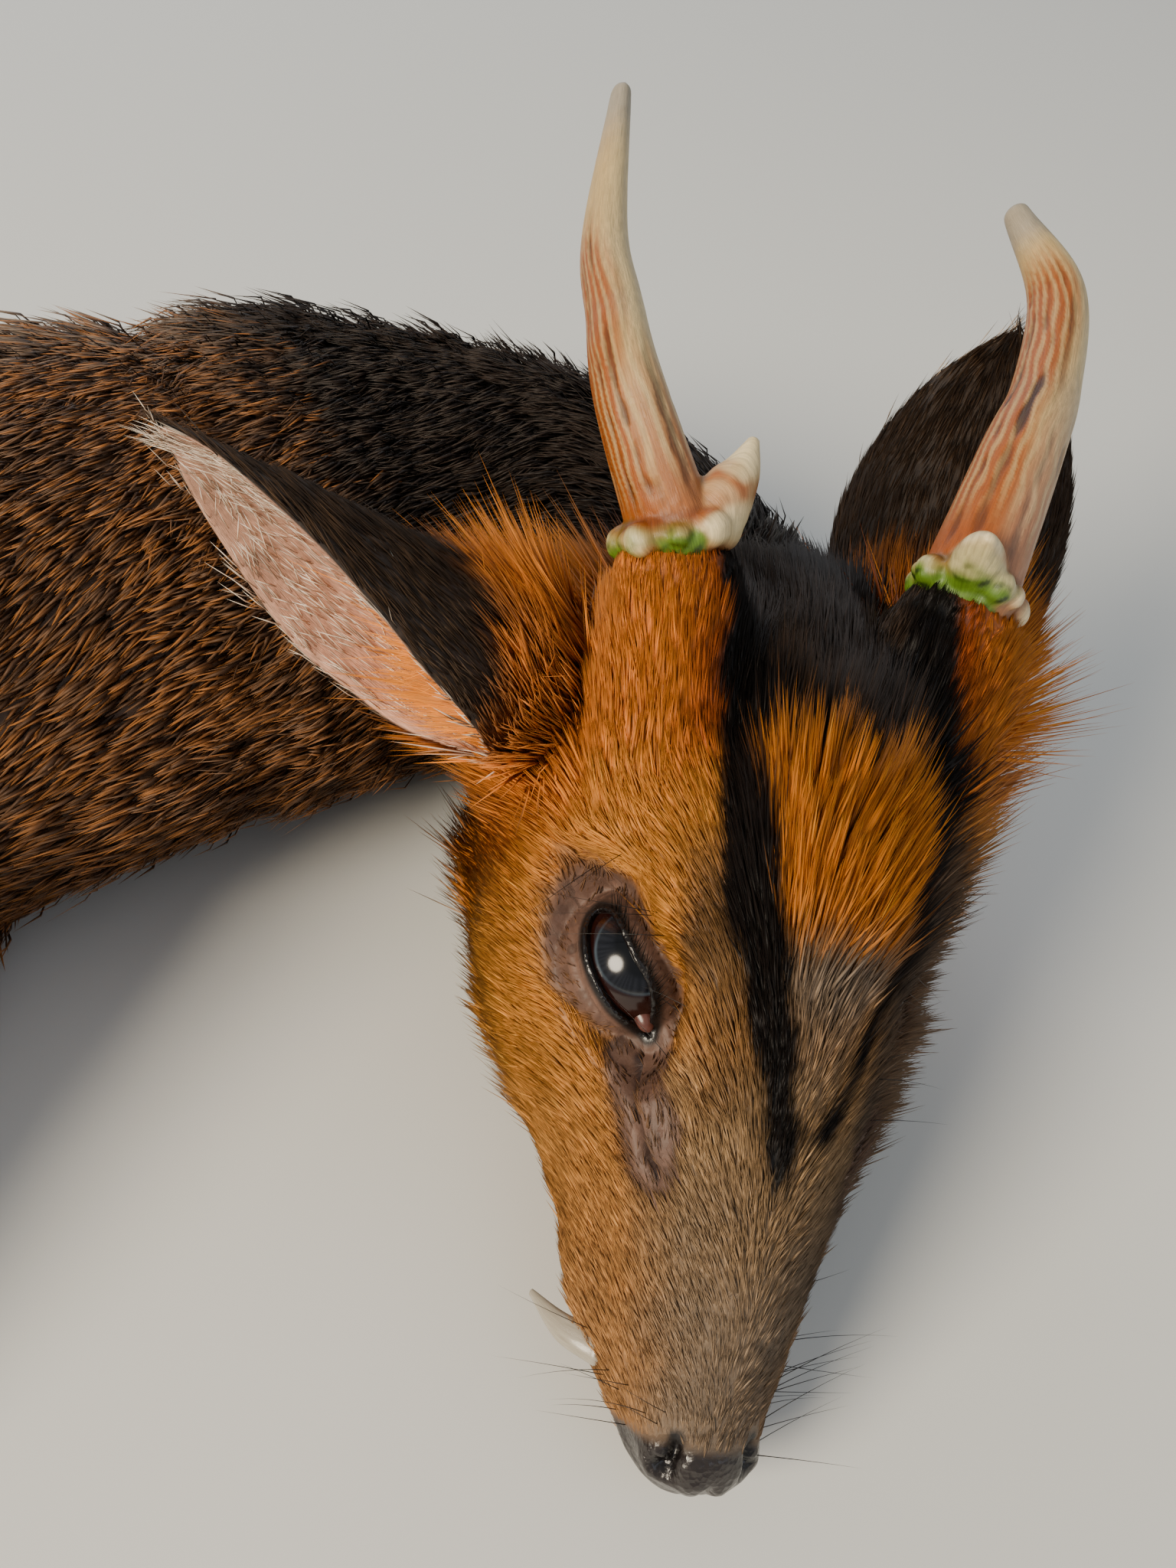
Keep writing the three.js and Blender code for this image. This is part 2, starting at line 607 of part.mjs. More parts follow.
// A flat lock of hair on the tail: diamond sections from a root sunk in the tail, over a bend, to a fine tip.
// It lies at a share of the tail's length, to one side (1 or -1, less near the middle), at some height.
function lock(share, side, height, length) {
  const curve = new THREE.CatmullRomCurve3(tailStations.map((s) => vec(s.at)), false, "centripetal");
  const along = curve.getTangent(share).setZ(0).normalize();
  const out = vec([along.y, -along.x, 0]).multiplyScalar(side);
  const { wide, thick, sunk } = lockSize;
  const outward = length * fringe.spread;
  const root = curve.getPoint(share).addScaledVector(out, sunk).add(vec([0, 0, height]));
  const bend = root.clone().addScaledVector(along, length * 0.45).addScaledVector(out, outward);
  const tip = bend.clone().addScaledVector(along, length * 0.55).addScaledVector(out, outward * 0.2);
  bend.z = Math.max(bend.z, thick * 2.5);
  tip.z = Math.max(tip.z - length * 0.1, thick * 1.5); // the tips sink, but not to the floor
  const points = [root, bend, tip];
  const rings = [0.9, 1, 0.15].map((size, i) => {
    const ahead = points[Math.min(i + 1, 2)].clone().sub(points[Math.max(i - 1, 0)]).normalize();
    const sideways = ahead.clone().cross(vec([0, 0, 1])).normalize();
    const half = [wide * size, thick * size, thick * size];
    return section(points[i], sideways, sideways.clone().cross(ahead), half, 4);
  });
  return solidOf(skin(rings, bodyFrame));
}

// The tail's fringe, in a loop down both edges and round the end.
function tailFringe() {
  const locks = [1, -1].map((side) => lock(0.9, side * fringe.end, 0, fringe.length * 0.8));
  for (let i = 0; i < fringe.pairs; i += 1) {
    const share = fringe.from + ((fringe.to - fringe.from) * i) / (fringe.pairs - 1);
    const length = fringe.length * (0.85 + 0.3 * Math.sin(i * 2.4));
    for (const side of [1, -1]) locks.push(lock(share, side, fringe.lift * (i % 2), length));
  }
  return locks;
}

// What lies under the floor is cut away, which leaves small flats where the animal rests.
const ground = solidOf(new THREE.BoxGeometry(3000, 3000, 200).translate(0, 0, -100));

const finish = {
  coat: { color: 0x8a5a2b, roughness: 0.9 },
  face: { color: 0xc27c2c, roughness: 0.85 },
  ear: { color: 0xcdb7a0, roughness: 0.85 },
  eye: { color: 0x14161c, roughness: 0.08 },
  nose: { color: 0x15130f, roughness: 0.3 },
  horn: { color: 0xe2cfa4, roughness: 0.45 },
  tusk: { color: 0xd9cfb4, roughness: 0.4 },
  hoof: { color: 0x2b2521, roughness: 0.5 },
};

const muntjac = new THREE.Group();

function put(name, solid, look) {
  const { vertProperties, triVerts } = largest(solid.subtract(ground)).getMesh();
  const geometry = new THREE.BufferGeometry();
  geometry.setAttribute("position", new THREE.BufferAttribute(vertProperties, 3));
  geometry.setIndex(new THREE.BufferAttribute(triVerts, 1));
  geometry.computeVertexNormals();
  const material = new THREE.MeshStandardMaterial({ ...finish[look], metalness: 0, flatShading: true });
  const mesh = new THREE.Mesh(geometry, material);
  mesh.name = name;
  muntjac.add(mesh);
}

// The head with its stalks and lids, whole.
function headWhole(grow) {
  const parts = [headSkin(grow)];
  for (const side of Object.keys(sides)) {
    parts.push(stalk(antlers[side], grow), lids(sides[side], grow));
  }
  return join(parts);
}

function buildHead() {
  const both = Object.entries(sides);
  const cutters = both.flatMap(([side, s]) => [
    eyeball(s, gap),
    lidOpening(s),
    scentSlit(s),
    tusk(s, gap),
    ear(ears[side], gap),
  ]);
  const whole = without(headWhole(0), [...cutters, nosePad(gap), mouthCut()]);
  const [skull, jaw] = whole.decompose().sort((a, b) => b.volume() - a.volume());
  put("head", skull, "face");
  put("jaw", jaw, "face");
  put("nose_pad", without(nosePad(), [...both.map(([, s]) => nostril(s)), mouthCut()]), "nose");
  for (const [side, s] of both) {
    put(`eye_${side}`, eyeball(s), "eye");
    put(`ear_${side}`, ear(ears[side]), "ear");
    put(`tusk_${side}`, tusk(s), "tusk");
    put(`burr_${side}`, burr(antlers[side]), "horn");
    put(`beam_${side}`, beam(antlers[side]), "horn");
    put(`brow_tine_${side}`, brow(antlers[side]), "horn");
  }
}

function buildBody() {
  const headAll = [headWhole(gap), ...Object.keys(sides).map((side) => ear(ears[side], gap))];
  put("neck", without(neck(), headAll), "coat");
  put("tail", join([tail(), ...tailFringe()]), "coat");
  const rooted = [neck(gap), tail(gap), ear(ears.r, gap)];
  for (const [name, plan] of Object.entries(legs)) {
    const claws = [1, -1].flatMap((level) => Object.values(foot(plan, level, gap)));
    const upperCopy = legPart(plan.upper, gap);
    rooted.push(upperCopy);
    put(`${name}_upper`, legPart(plan.upper), "coat");
    if (plan.middle) {
      rooted.push(legPart(plan.middle, gap));
      put(`${name}_middle`, legPart(plan.middle).subtract(upperCopy), "coat");
    }
    const above = plan.middle ? legPart(plan.middle, gap) : upperCopy;
    put(`${name}_lower`, without(legPart(plan.lower), [above, ...claws]), "coat");
    for (const [level, word] of [[1, "outer"], [-1, "inner"]]) {
      const { hoof, dewclaw } = foot(plan, level);
      put(`${name}_hoof_${word}`, hoof, "hoof");
      put(`${name}_dewclaw_${word}`, dewclaw, "hoof");
    }
  }
  put("torso", without(trunk(), rooted), "coat");
}

buildHead();
buildBody();

const box = new THREE.Box3().setFromObject(muntjac);
const middle = box.getCenter(new THREE.Vector3());
muntjac.position.set(-middle.x, -middle.y, 0);

export default muntjac;
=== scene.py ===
import bmesh
import bpy
import numpy as np
from mathutils import Matrix, Vector
from mathutils.kdtree import KDTree


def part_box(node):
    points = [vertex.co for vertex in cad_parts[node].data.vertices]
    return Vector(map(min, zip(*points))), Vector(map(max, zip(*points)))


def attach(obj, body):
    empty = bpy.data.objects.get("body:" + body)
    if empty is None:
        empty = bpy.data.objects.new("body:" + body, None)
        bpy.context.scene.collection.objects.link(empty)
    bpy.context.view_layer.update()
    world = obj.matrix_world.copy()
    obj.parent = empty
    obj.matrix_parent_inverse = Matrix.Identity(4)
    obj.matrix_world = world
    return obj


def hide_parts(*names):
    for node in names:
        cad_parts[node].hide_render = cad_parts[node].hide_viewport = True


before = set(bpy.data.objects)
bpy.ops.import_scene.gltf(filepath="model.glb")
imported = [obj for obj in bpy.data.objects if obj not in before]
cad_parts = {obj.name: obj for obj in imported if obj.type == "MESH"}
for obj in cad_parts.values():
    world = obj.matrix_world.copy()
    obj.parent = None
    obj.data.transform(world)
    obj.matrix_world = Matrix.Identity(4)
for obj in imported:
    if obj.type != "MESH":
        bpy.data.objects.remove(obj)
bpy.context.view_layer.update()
rng = np.random.default_rng(11)
print("frame loaded")

# Lengths are in millimetres until a mesh is made, then metres.


# Unit axes of the head from three turns in degrees: x to the nose, y to the animal's left, z to the crown.
def headAxes(heading, noseDown, roll):
    heading, noseDown, roll = np.radians([heading, noseDown, roll])
    ahead = np.cos(noseDown)
    forward = np.array([np.cos(heading) * ahead, np.sin(heading) * ahead, -np.sin(noseDown)])
    level = np.array([-np.sin(heading), np.cos(heading), 0])
    crown = np.cross(forward, level)
    left = level * np.cos(roll) - crown * np.sin(roll)
    return np.array([forward, left, np.cross(forward, left)])


def middleOf(node):
    low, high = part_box(node)
    return np.array((low + high) / 2) * 1000


axes = headAxes(heading=-91, noseDown=12.7, roll=17.6)
eyeSpot = {"x": 2.5, "y": 20, "z": -5.5, "radius": 13.3}
eyesMiddle = (middleOf("eye_r") + middleOf("eye_l")) / 2
headAt = eyesMiddle - np.array([eyeSpot["x"], 0, eyeSpot["z"]]) @ axes
worldShift = headAt - np.array([30, 127, 65])  # from the photo's frame to the row's
trunkPlace = {"at": (-125, 247, 0), "heading": 26}
turn = np.radians(trunkPlace["heading"])
bodyAxes = np.array([[np.cos(turn), np.sin(turn), 0], [-np.sin(turn), np.cos(turn), 0], [0, 0, 1]])


def headToWorld(points):
    return np.asarray(points, float) @ axes + headAt


def worldToHead(points):
    return (points - headAt) @ axes.T


def bodyToWorld(points):
    return np.asarray(points, float) @ bodyAxes + np.array(trunkPlace["at"]) + worldShift


def worldToBody(points):
    return (points - worldShift - np.array(trunkPlace["at"])) @ bodyAxes.T


def photoToWorld(points):
    return np.asarray(points, float) + worldShift


# v / |v| for each row.
def unit(v):
    return v / np.maximum(np.linalg.norm(v, axis=-1, keepdims=True), 1e-9)


# sRGB hex to linear: c / 12.92 where c is at most 0.04045, else ((c + 0.055) / 1.055)^2.4.
def srgb(code):
    parts = np.array([int(code[i:i + 2], 16) for i in (1, 3, 5)]) / 255
    linear = np.where(parts <= 0.04045, parts / 12.92, ((parts + 0.055) / 1.055) ** 2.4)
    return (*linear, 1.0)


# A set of named hex colours as linear ones.
def linearTones(codes):
    return {name: np.array(srgb(code)[:3]) for name, code in codes.items()}


# A colour laid over others by a mask: colour * (1 - mask) + other * mask.
def over(colour, other, mask):
    mask = np.clip(mask, 0, 1)[:, None]
    return colour * (1 - mask) + other * mask


# A soft step from 0 at edge0 to 1 at edge1: t^2 (3 - 2 t), with t the share of the way.
def smoothstep(edge0, edge1, x):
    t = np.clip((x - edge0) / (edge1 - edge0), 0, 1)
    return t * t * (3 - 2 * t)


# A bell over a distance: height * exp(-((distance - at) / width)^2).
def bell(distance, height, width, at=0):
    return height * np.exp(-((distance - at) / width) ** 2)


# Arrays broadcast together and laid out as the columns of a table, one row for each point of a grid.
def spread(*columns):
    return np.stack(np.broadcast_arrays(*columns), -1).reshape(-1, len(columns))


# Plans with every entry as an array.
def asArrays(plans):
    return {name: {key: np.array(value, float) for key, value in plan.items()} for name, plan in plans.items()}


# Gives a node its inputs by name, and links what is itself a socket.
def wire(tree, node, inputs):
    for key, value in inputs.items():
        if isinstance(value, bpy.types.NodeSocket):
            tree.links.new(value, node.inputs[key])
        else:
            node.inputs[key].default_value = value


# Adds a node with its named properties and inputs.
def addNode(tree, kind, inputs=None, **settings):
    node = tree.nodes.new(kind)
    for key, value in settings.items():
        setattr(node, key, value)
    wire(tree, node, inputs or {})
    return node


def newMaterial(name, inputs=None):
    material = bpy.data.materials.new(name)
    material.use_nodes = True
    tree = material.node_tree
    tree.nodes.clear()
    shader = addNode(tree, "ShaderNodeBsdfPrincipled", inputs)
    addNode(tree, "ShaderNodeOutputMaterial", {"Surface": shader.outputs["BSDF"]})
    return material, tree, shader


# A material whose colour is painted on the points of the mesh.
def paintedMaterial(name, attribute, inputs):
    material, tree, shader = newMaterial(name, inputs)
    colour = addNode(tree, "ShaderNodeAttribute", attribute_name=attribute)
    wire(tree, shader, {"Base Color": colour.outputs["Color"]})
    return material


def addObject(name, data):
    thing = bpy.data.objects.new(name, data)
    bpy.context.scene.collection.objects.link(thing)
    return thing


def placeCamera(settings):
    data = bpy.data.cameras.new("photoCamera")
    data.sensor_fit = "VERTICAL"
    data.sensor_height = settings["sensor"]
    data.lens = settings["sensor"] * settings["focal"] / 2048  # the photo is 2048 pixels high
    data.clip_start = 0.01
    camera = addObject("photoCamera", data)
    camera.location = photoToWorld(settings["at"]) * 0.001
    camera.rotation_euler = (np.radians(90 - settings["down"]), 0, 0)
    bpy.context.scene.camera = camera


cameraSettings = {"at": (0, 0, 254.2), "down": 48, "focal": 1541, "sensor": 36}
placeCamera(cameraSettings)


def areaLight(name, at, aim, size, watts, colour):
    data = bpy.data.lights.new(name, "AREA")
    data.shape = "DISK"
    data.size = size
    data.energy = watts
    data.color = srgb(colour)[:3]
    lamp = addObject(name, data)
    lamp.location = at
    lamp.rotation_euler = (Vector(aim) - Vector(at)).to_track_quat("-Z", "Y").to_euler()


lights = [
    {"name": "key", "at": (-1.0, -0.9, 1.15), "size": 0.9, "watts": 58, "colour": "#fff0d8"},
    {"name": "fill", "at": (1.5, -0.9, 1.4), "size": 2.0, "watts": 9, "colour": "#eaf1ff"},
    {"name": "rim", "at": (-0.2, 1.7, 1.0), "size": 1.4, "watts": 9, "colour": "#f4f8ff"},
]
for lamp in lights:
    areaLight(aim=(0.2, 0.05, 0.05), **lamp)

world = bpy.data.worlds.new("studio")
world.use_nodes = True
world.node_tree.nodes["Background"].inputs["Color"].default_value = srgb("#e9ecee")
world.node_tree.nodes["Background"].inputs["Strength"].default_value = 0.42
bpy.context.scene.world = world
bpy.context.scene.view_settings.view_transform = "AgX"


def addMesh(name, points, faces, smooth=True):
    mesh = bpy.data.meshes.new(name)
    mesh.from_pydata((np.asarray(points) * 0.001).tolist(), [], np.asarray(faces).tolist())
    mesh.shade_smooth() if smooth else mesh.shade_flat()
    return addObject(name, mesh)


# Several surfaces' points and faces as one.
def joined(surfaces):
    starts = np.cumsum([0] + [len(surface[0]) for surface in surfaces[:-1]])
    faces = [surface[1] + start for surface, start in zip(surfaces, starts)]
    return np.vstack([surface[0] for surface in surfaces]), np.vstack(faces)


# Gives a finished piece its material and its body, and hides the nodes that it takes the place of.
def finish(thing, material, slot, *nodes):
    thing.data.materials.append(material)
    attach(thing, "root")
    if nodes:
        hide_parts(*nodes)


def keepVectors(mesh, name, values):
    layer = mesh.attributes.new(name, "FLOAT_VECTOR", "POINT")
    layer.data.foreach_set("vector", np.ascontiguousarray(values, np.float32).ravel())


def keepColours(mesh, name, values):
    layer = mesh.color_attributes.new(name, "FLOAT_COLOR", "POINT")
    full = np.ones((len(values), 4), np.float32)
    full[:, :3] = values
    layer.data.foreach_set("color", full.ravel())


def keepNumbers(mesh, name, values):
    layer = mesh.attributes.new(name, "FLOAT", "POINT")
    layer.data.foreach_set("value", np.ascontiguousarray(values, np.float32))


# Quads between neighbouring points of a grid of rows by columns, closed round the columns if asked.
def gridFaces(rows, columns, closed=True):
    r, c = np.meshgrid(np.arange(rows - 1), np.arange(columns if closed else columns - 1), indexing="ij")
    right = (c + 1) % columns
    quads = np.stack([r * columns + c, r * columns + right, (r + 1) * columns + right, (r + 1) * columns + c], -1)
    return quads.reshape(-1, 4)


# Rows of numbers keyed by their first column and read between the rows on a smooth curve: a cubic whose
# slope at each row is that of the line through its two neighbours.
def readRows(rows, keys):
    rows = np.asarray(rows, float)
    keys = np.atleast_1d(np.asarray(keys, float))
    last = len(rows) - 1
    i = np.clip(np.searchsorted(rows[:, 0], keys, side="left") - 1, 0, last - 1)
    a, b = rows[i], rows[i + 1]
    before, after = rows[np.maximum(i - 1, 0)], rows[np.minimum(i + 2, last)]
    span = b[:, :1] - a[:, :1]
    t = np.clip((keys[:, None] - a[:, :1]) / span, 0, 1)
    slopeA = (b - before) / (b[:, :1] - before[:, :1]) * span
    slopeB = (after - a) / (after[:, :1] - a[:, :1]) * span
    rise = b - a
    value = a + t * (slopeA + t * ((3 * rise - 2 * slopeA - slopeB) + t * (slopeA + slopeB - 2 * rise)))
    return value[:, 1:]


# sign(v) * |v|^(2 / power).
def rounded(v, power):
    return np.sign(v) * np.abs(v) ** (2 / power)


# A tube along stations (x, y, z, half width, half up, half down, top x, top y, top z): each ring is
# centre + side * width * |cos v|^(2/power) + up * height * |sin v|^(2/power), and each end is rounded by
# a quarter ellipse of the given bluntness. Returns points, faces, the direction along it, and (u, v).
def tubeGrid(stations, steps, sides, power=2.2, blunt=0.35, thin=0.0, capRings=5):
    stations = np.asarray(stations, float)
    keys = np.arange(len(stations)) / (len(stations) - 1)
    t = np.linspace(0, 1, steps + 1)
    table = np.column_stack([keys, stations])
    read = readRows(table, t)
    centre, half, top = read[:, :3], read[:, 3:6] - thin, read[:, 6:9]
    along = unit(np.gradient(centre, axis=0))
    up = unit(top - (top * along).sum(1, keepdims=True) * along)
    side = np.cross(along, up)
    turn = np.linspace(0, np.pi / 2, capRings + 1)[1:]
    turn[-1] = np.radians(89.5)
    low, high = half[0].min() * blunt, half[-1].min() * blunt
    startRows = centre[0] - along[0] * (np.sin(turn[::-1]) * low)[:, None]
    endRows = centre[-1] + along[-1] * (np.sin(turn) * high)[:, None]
    centre = np.vstack([startRows, centre, endRows])
    scale = np.concatenate([np.cos(turn[::-1]), np.ones(len(t)), np.cos(turn)])
    u = np.concatenate([-0.03 * np.sin(turn[::-1]), t, 1 + 0.03 * np.sin(turn)])
    along, up, side, half = (np.vstack([np.repeat(a[:1], capRings, 0), a, np.repeat(a[-1:], capRings, 0)])
                             for a in (along, up, side, half))
    angle = np.arange(sides) / sides * 2 * np.pi
    across = rounded(np.cos(angle), power)[None] * half[:, :1] * scale[:, None]
    high = np.where(np.sin(angle) >= 0, half[:, 1:2], half[:, 2:3])
    rise = rounded(np.sin(angle), power)[None] * high * scale[:, None]
    points = centre[:, None] + side[:, None] * across[..., None] + up[:, None] * rise[..., None]
    flow = np.repeat(along, sides, 0)
    return points.reshape(-1, 3), gridFaces(len(u), sides), flow, spread(u[:, None], angle / (2 * np.pi))


# A sphere pulled to three half sizes, half * (cos a cos b, cos a sin b, sin a), and turned by degrees about y.
def ballGrid(at, half, tilt=0, rows=24, columns=32):
    a = np.linspace(-89.9, 89.9, rows)[:, None] * np.pi / 180
    b = np.arange(columns) / columns * 2 * np.pi
    shape = spread(np.cos(a) * np.cos(b), np.cos(a) * np.sin(b), np.sin(a))
    spin = np.array(Matrix.Rotation(np.radians(tilt), 3, "Y"))
    return shape * half @ spin.T + at, gridFaces(rows, columns)


# The head's rings: place along it, half width, top, bottom, and the height of its widest line.
headRows = [
    (-88, 9, 4, -26, -13), (-82, 22, 17, -44, -13), (-72, 34, 31, -60, -13), (-58, 43, 39, -69, -18),
    (-44, 47, 42, -73, -21), (-30, 47.5, 43, -72, -22), (-12, 46, 41.5, -69, -22), (5, 42.5, 37.5, -65, -23),
    (20, 35.5, 30.5, -62, -24), (34, 29.5, 21.5, -60, -29), (48, 24.5, 12, -57.5, -34),
    (62, 20.5, 0.5, -54.5, -35), (74, 17, -10, -51, -35), (82, 14, -17.5, -48, -35),
    (88, 10, -24, -44, -35), (91.5, 5, -29, -40, -35),
]
# Reliefs, the same on both sides: place, width and push.
headRelief = [
    ((4, -34, 8), 15, (0, 3.5, -0.5)),  # the orbit lies in a hollow
    ((30, -25, -4), 10, (0, 3, 0)),  # before the eye, round the scent slit
    ((-14, -22, 38), 13, (0, 0, 3)),  # brow ridge
    ((-4, -45, -20), 15, (0, -2.5, 0)),  # cheekbone
    ((58, -21, -40), 12, (0, -2.8, 0)),  # upper lip
]


# The head: at each x a ring whose half width, top and bottom come from the rows, with the top rounder than
# the squarer jaw, and each point then moved by the reliefs, exp(-(distance / width)^2) times their push.
def headGrid(depth, steps=110, around=120):
    first, last = headRows[0][0] + depth, headRows[-1][0] - depth * 0.4
    x = np.linspace(first, last, steps)
    half, top, bottom, widest = readRows(headRows, x).T
    half, top, bottom = half - depth, top - depth, bottom + depth
    ends = np.clip(np.minimum(x - first, last - x) / 3, 0, 1)
    scale = np.sqrt(np.clip(1 - (1 - ends) ** 2, 0.0004, 1))
    angle = np.arange(around) / around * 2 * np.pi
    upper = np.sin(angle) >= 0
    power = np.where(upper, 1.85, 2.8)
    y = rounded(np.cos(angle), power)[None] * (half * scale)[:, None]
    high = np.where(upper[None], (top - widest)[:, None], (widest - bottom)[:, None]) * scale[:, None]
    z = widest[:, None] + rounded(np.sin(angle), power)[None] * high
    points = spread(x[:, None], y, z)
    mirror = spread(1, np.where(points[:, 1] < 0, 1, -1), 1)
    moved = points.copy()
    for at, wide, push in headRelief:
        share = np.exp(-((points - at * mirror) ** 2).sum(1) / wide ** 2)
        moved += push * mirror * share[:, None]
    return moved, gridFaces(steps, around), spread(np.linspace(0, 1, steps)[:, None], angle / (2 * np.pi))


# Each antler in the head's frame: the root of its stalk, its burr, its beam, its brow tine and how flat the beam
# is, then its looks: the angle of the lit side, the blush, and how green the burr is and on which side.
antlerPlans = asArrays({
    "r": {"root": (-12, -19, 6), "burr": (-58, -30.5, 45),
          "beam": [(-76.5, -43.5, 57.5), (-92, -47, 60), (-110, -49.5, 61.5), (-139.5, -49.5, 70.5)],
          "tine": [(-57.5, -26, 50), (-62, -24, 54.5), (-65, -22.5, 57), (-69, -21.5, 60)], "flat": 0.68,
          "lightSide": 0.9, "blush": 0, "green": 0.8, "greenSide": (0.3, -0.8, -0.6)},
    "l": {"root": (-12, 19, 6), "burr": (-60, 28.5, 45.5),
          "beam": [(-85, 36, 58.5), (-101, 42, 62.5), (-124, 45.5, 67.5), (-140.5, 36.5, 71.5)],
          "tine": [(-59, 27, 50), (-58, 24, 56), (-57, 22, 60), (-55.5, 20.5, 64)], "flat": 0.9,
          "lightSide": 1.1, "blush": 1, "green": 1.6, "greenSide": (0.2, -0.9, 0.2)},
})


# The way a burr faces: half way between the stalk's direction and the beam's.
def burrAxis(plan):
    return unit(unit(plan["burr"] - plan["root"]) + unit(plan["beam"][0] - plan["burr"]))


def stalkStations(plan):
    end = plan["burr"] - burrAxis(plan) * 2.5
    middle = plan["root"] + (plan["burr"] - plan["root"]) * 0.55
    top = (0.2, 0, 1)
    return [(*plan["root"], 20, 19, 19, *top), (*middle, 17, 16.5, 16.5, *top), (*end, 14, 14, 14, *top)]


# Stations of the neck in the photo's frame, then of the trunk and tail in the body's: place, half width, half
# height above and below, and the way that counts as up.
crownUp, spineSide = (0.3, -0.21, 0.93), (-0.44, 0.9, 0.05)
neckStations = [
    (31, 176, 58, 36, 36, 46, *crownUp),
    (31, 208, 51, 40, 42, 50, *crownUp),
    (22, 237, 49, 43, 45, 50, 0.3, 0.25, 0.8),
    (-2, 257, 48, 47, 56, 54, 0.1, 0.6, 0.5),
    (-36, 267, 50, 50, 70, 66, -0.2, 0.85, 0.25),
    (-68, 267, 53, 54, 82, 78, -0.4, 0.9, 0.1),
    (-100, 260, 56, 56, 84, 84, *spineSide),
]
trunkStations = [(*row, 0, 1, 0) for row in [
    (50, 4, 52, 48, 66, 60), (18, 0, 57, 58, 84, 82), (-38, 0, 60, 62, 88, 90), (-104, 0, 63, 66, 89, 92),
    (-180, 0, 66, 70, 90, 89), (-246, 0, 66, 70, 92, 80), (-304, 0, 62, 66, 91, 69), (-352, 0, 57, 60, 84, 60),
    (-388, 4, 50, 51, 63, 50), (-411, 10, 44, 33, 35, 33),
]]
tailStations = [(*row, 0, 0, 1) for row in [
    (-396, 38, 46, 13, 12, 12), (-424, 38, 35, 14, 12, 12), (-456, 26, 21, 16, 11, 11),
    (-488, 8, 10.5, 15, 10, 10), (-503, -4, 7.2, 11, 8, 8), (-515, -13, 6.5, 8, 7, 7),
]]
# Legs in the body's frame: x, y, z, then half width in the leg's plane and across it.
legs = {
    "fore_right": {
        "upper": [(-57, -34, 78.5, 34, 23), (-83.5, -75, 77, 27.5, 20), (-109.5, -116.5, 61.5, 17, 15.5),
                  (-136, -154, 44, 13, 12.5)],
        "lower": [(-136, -154, 44, 12.5, 12), (-158.5, -175, 33.5, 9, 8.5), (-183, -195.5, 23, 8.5, 8),
                  (-198, -210.5, 17.5, 11.5, 10.5), (-205.5, -225.5, 14.5, 9.5, 10)],
        "toe": (-218.5, -255.5)},
    "fore_left": {
        "upper": [(-64, -37.5, 23, 32, 23), (-86.5, -79, 22, 26.5, 20), (-107, -124, 16, 17, 16.5),
                  (-126, -167.5, 12, 13, 13.5)],
        "lower": [(-126, -167.5, 12, 12.5, 12.5), (-144.5, -192, 9.5, 9, 9), (-163.5, -218, 8.5, 8.5, 8.5),
                  (-175, -235, 9.5, 11.5, 10.5), (-180.5, -250, 10.5, 9.5, 10)],
        "toe": (-191.5, -281)},
    "hind_right": {
        "upper": [(-349.5, 5.5, 85.5, 54.5, 28), (-331, -37.5, 84.5, 47, 26), (-310, -79, 78.5, 32, 21)],
        "middle": [(-308.5, -79, 78.5, 30, 20), (-338.5, -114.5, 63.5, 21.5, 17.5), (-372, -145, 54, 13, 11.5),
                   (-402.5, -169, 46, 14, 12.5)],
        "lower": [(-402.5, -169, 46, 13.5, 12), (-398.5, -208.5, 36.5, 9.5, 8.5), (-389, -255.5, 24, 9, 8),
                  (-381.5, -293.5, 16.5, 12, 10.5), (-375, -312, 14.5, 10, 10)],
        "toe": (-363, -342)},
    "hind_left": {
        "upper": [(-338.5, 2, 26, 52.5, 28), (-306.5, -37.5, 26, 45, 27), (-280, -79, 23, 31, 24)],
        "middle": [(-278, -79, 21, 29, 23), (-302.5, -116.5, 18.5, 20.5, 18), (-331, -148.5, 12.5, 13, 13.5),
                   (-357, -176.5, 11.5, 14, 13.5)],
        "lower": [(-357, -176.5, 11.5, 13.5, 12.5), (-348, -216, 9, 9.5, 9), (-331, -263, 9, 9, 8.5),
                  (-317.5, -299, 9.5, 12, 10.5), (-308.5, -317, 10.5, 10, 10)],
        "toe": (-293.5, -345)},
}


# A leg's rows as stations of a tube, with up as the top.
def legStations(rows):
    return [(x, y, z, inPlane, thick, thick, 0, 0, 1) for x, y, z, inPlane, thick in rows]


# Everything of flesh as closed surfaces that run into one another, each inside the solids by the depth of
# its coat. Each gives points, faces, the way its hair lies, its place on the unwrap, and its region.
coatDepth = {"head": 2.6, "stalk": 3, "neck": 9, "trunk": 9, "upper": 6, "middle": 4, "lower": 2, "tail": 7}
regions = ["head", "stalk", "neck", "trunk", "upper", "middle", "lower", "tail", "earBack", "earInside"]
tiles = 8  # the unwrap is this many tiles across, and each surface has one of them
tileEdge = 0.03  # kept free round each tile


# Places on a tile of the unwrap: corner + (uv * (1 - 2 * edge) + edge) / tiles.
def tileOf(uv, number):
    corner = np.array([number % tiles, number // tiles]) / tiles
    return corner + np.clip(uv * (1 - 2 * tileEdge) + tileEdge, 0.01, 0.99) / tiles


sources = []


def addSource(points, faces, flow, uv, region):
    sources.append({"points": points, "faces": faces, "flow": unit(flow), "uv": tileOf(uv, len(sources)),
                    "region": np.full(len(points), regions.index(region))})


def addTube(stations, place, region, steps, sides, **shape):
    points, faces, flow, uv = tubeGrid(stations, steps, sides, thin=coatDepth[region], **shape)
    addSource(place(points), faces, place(flow) - place(np.zeros((1, 3))), uv, region)


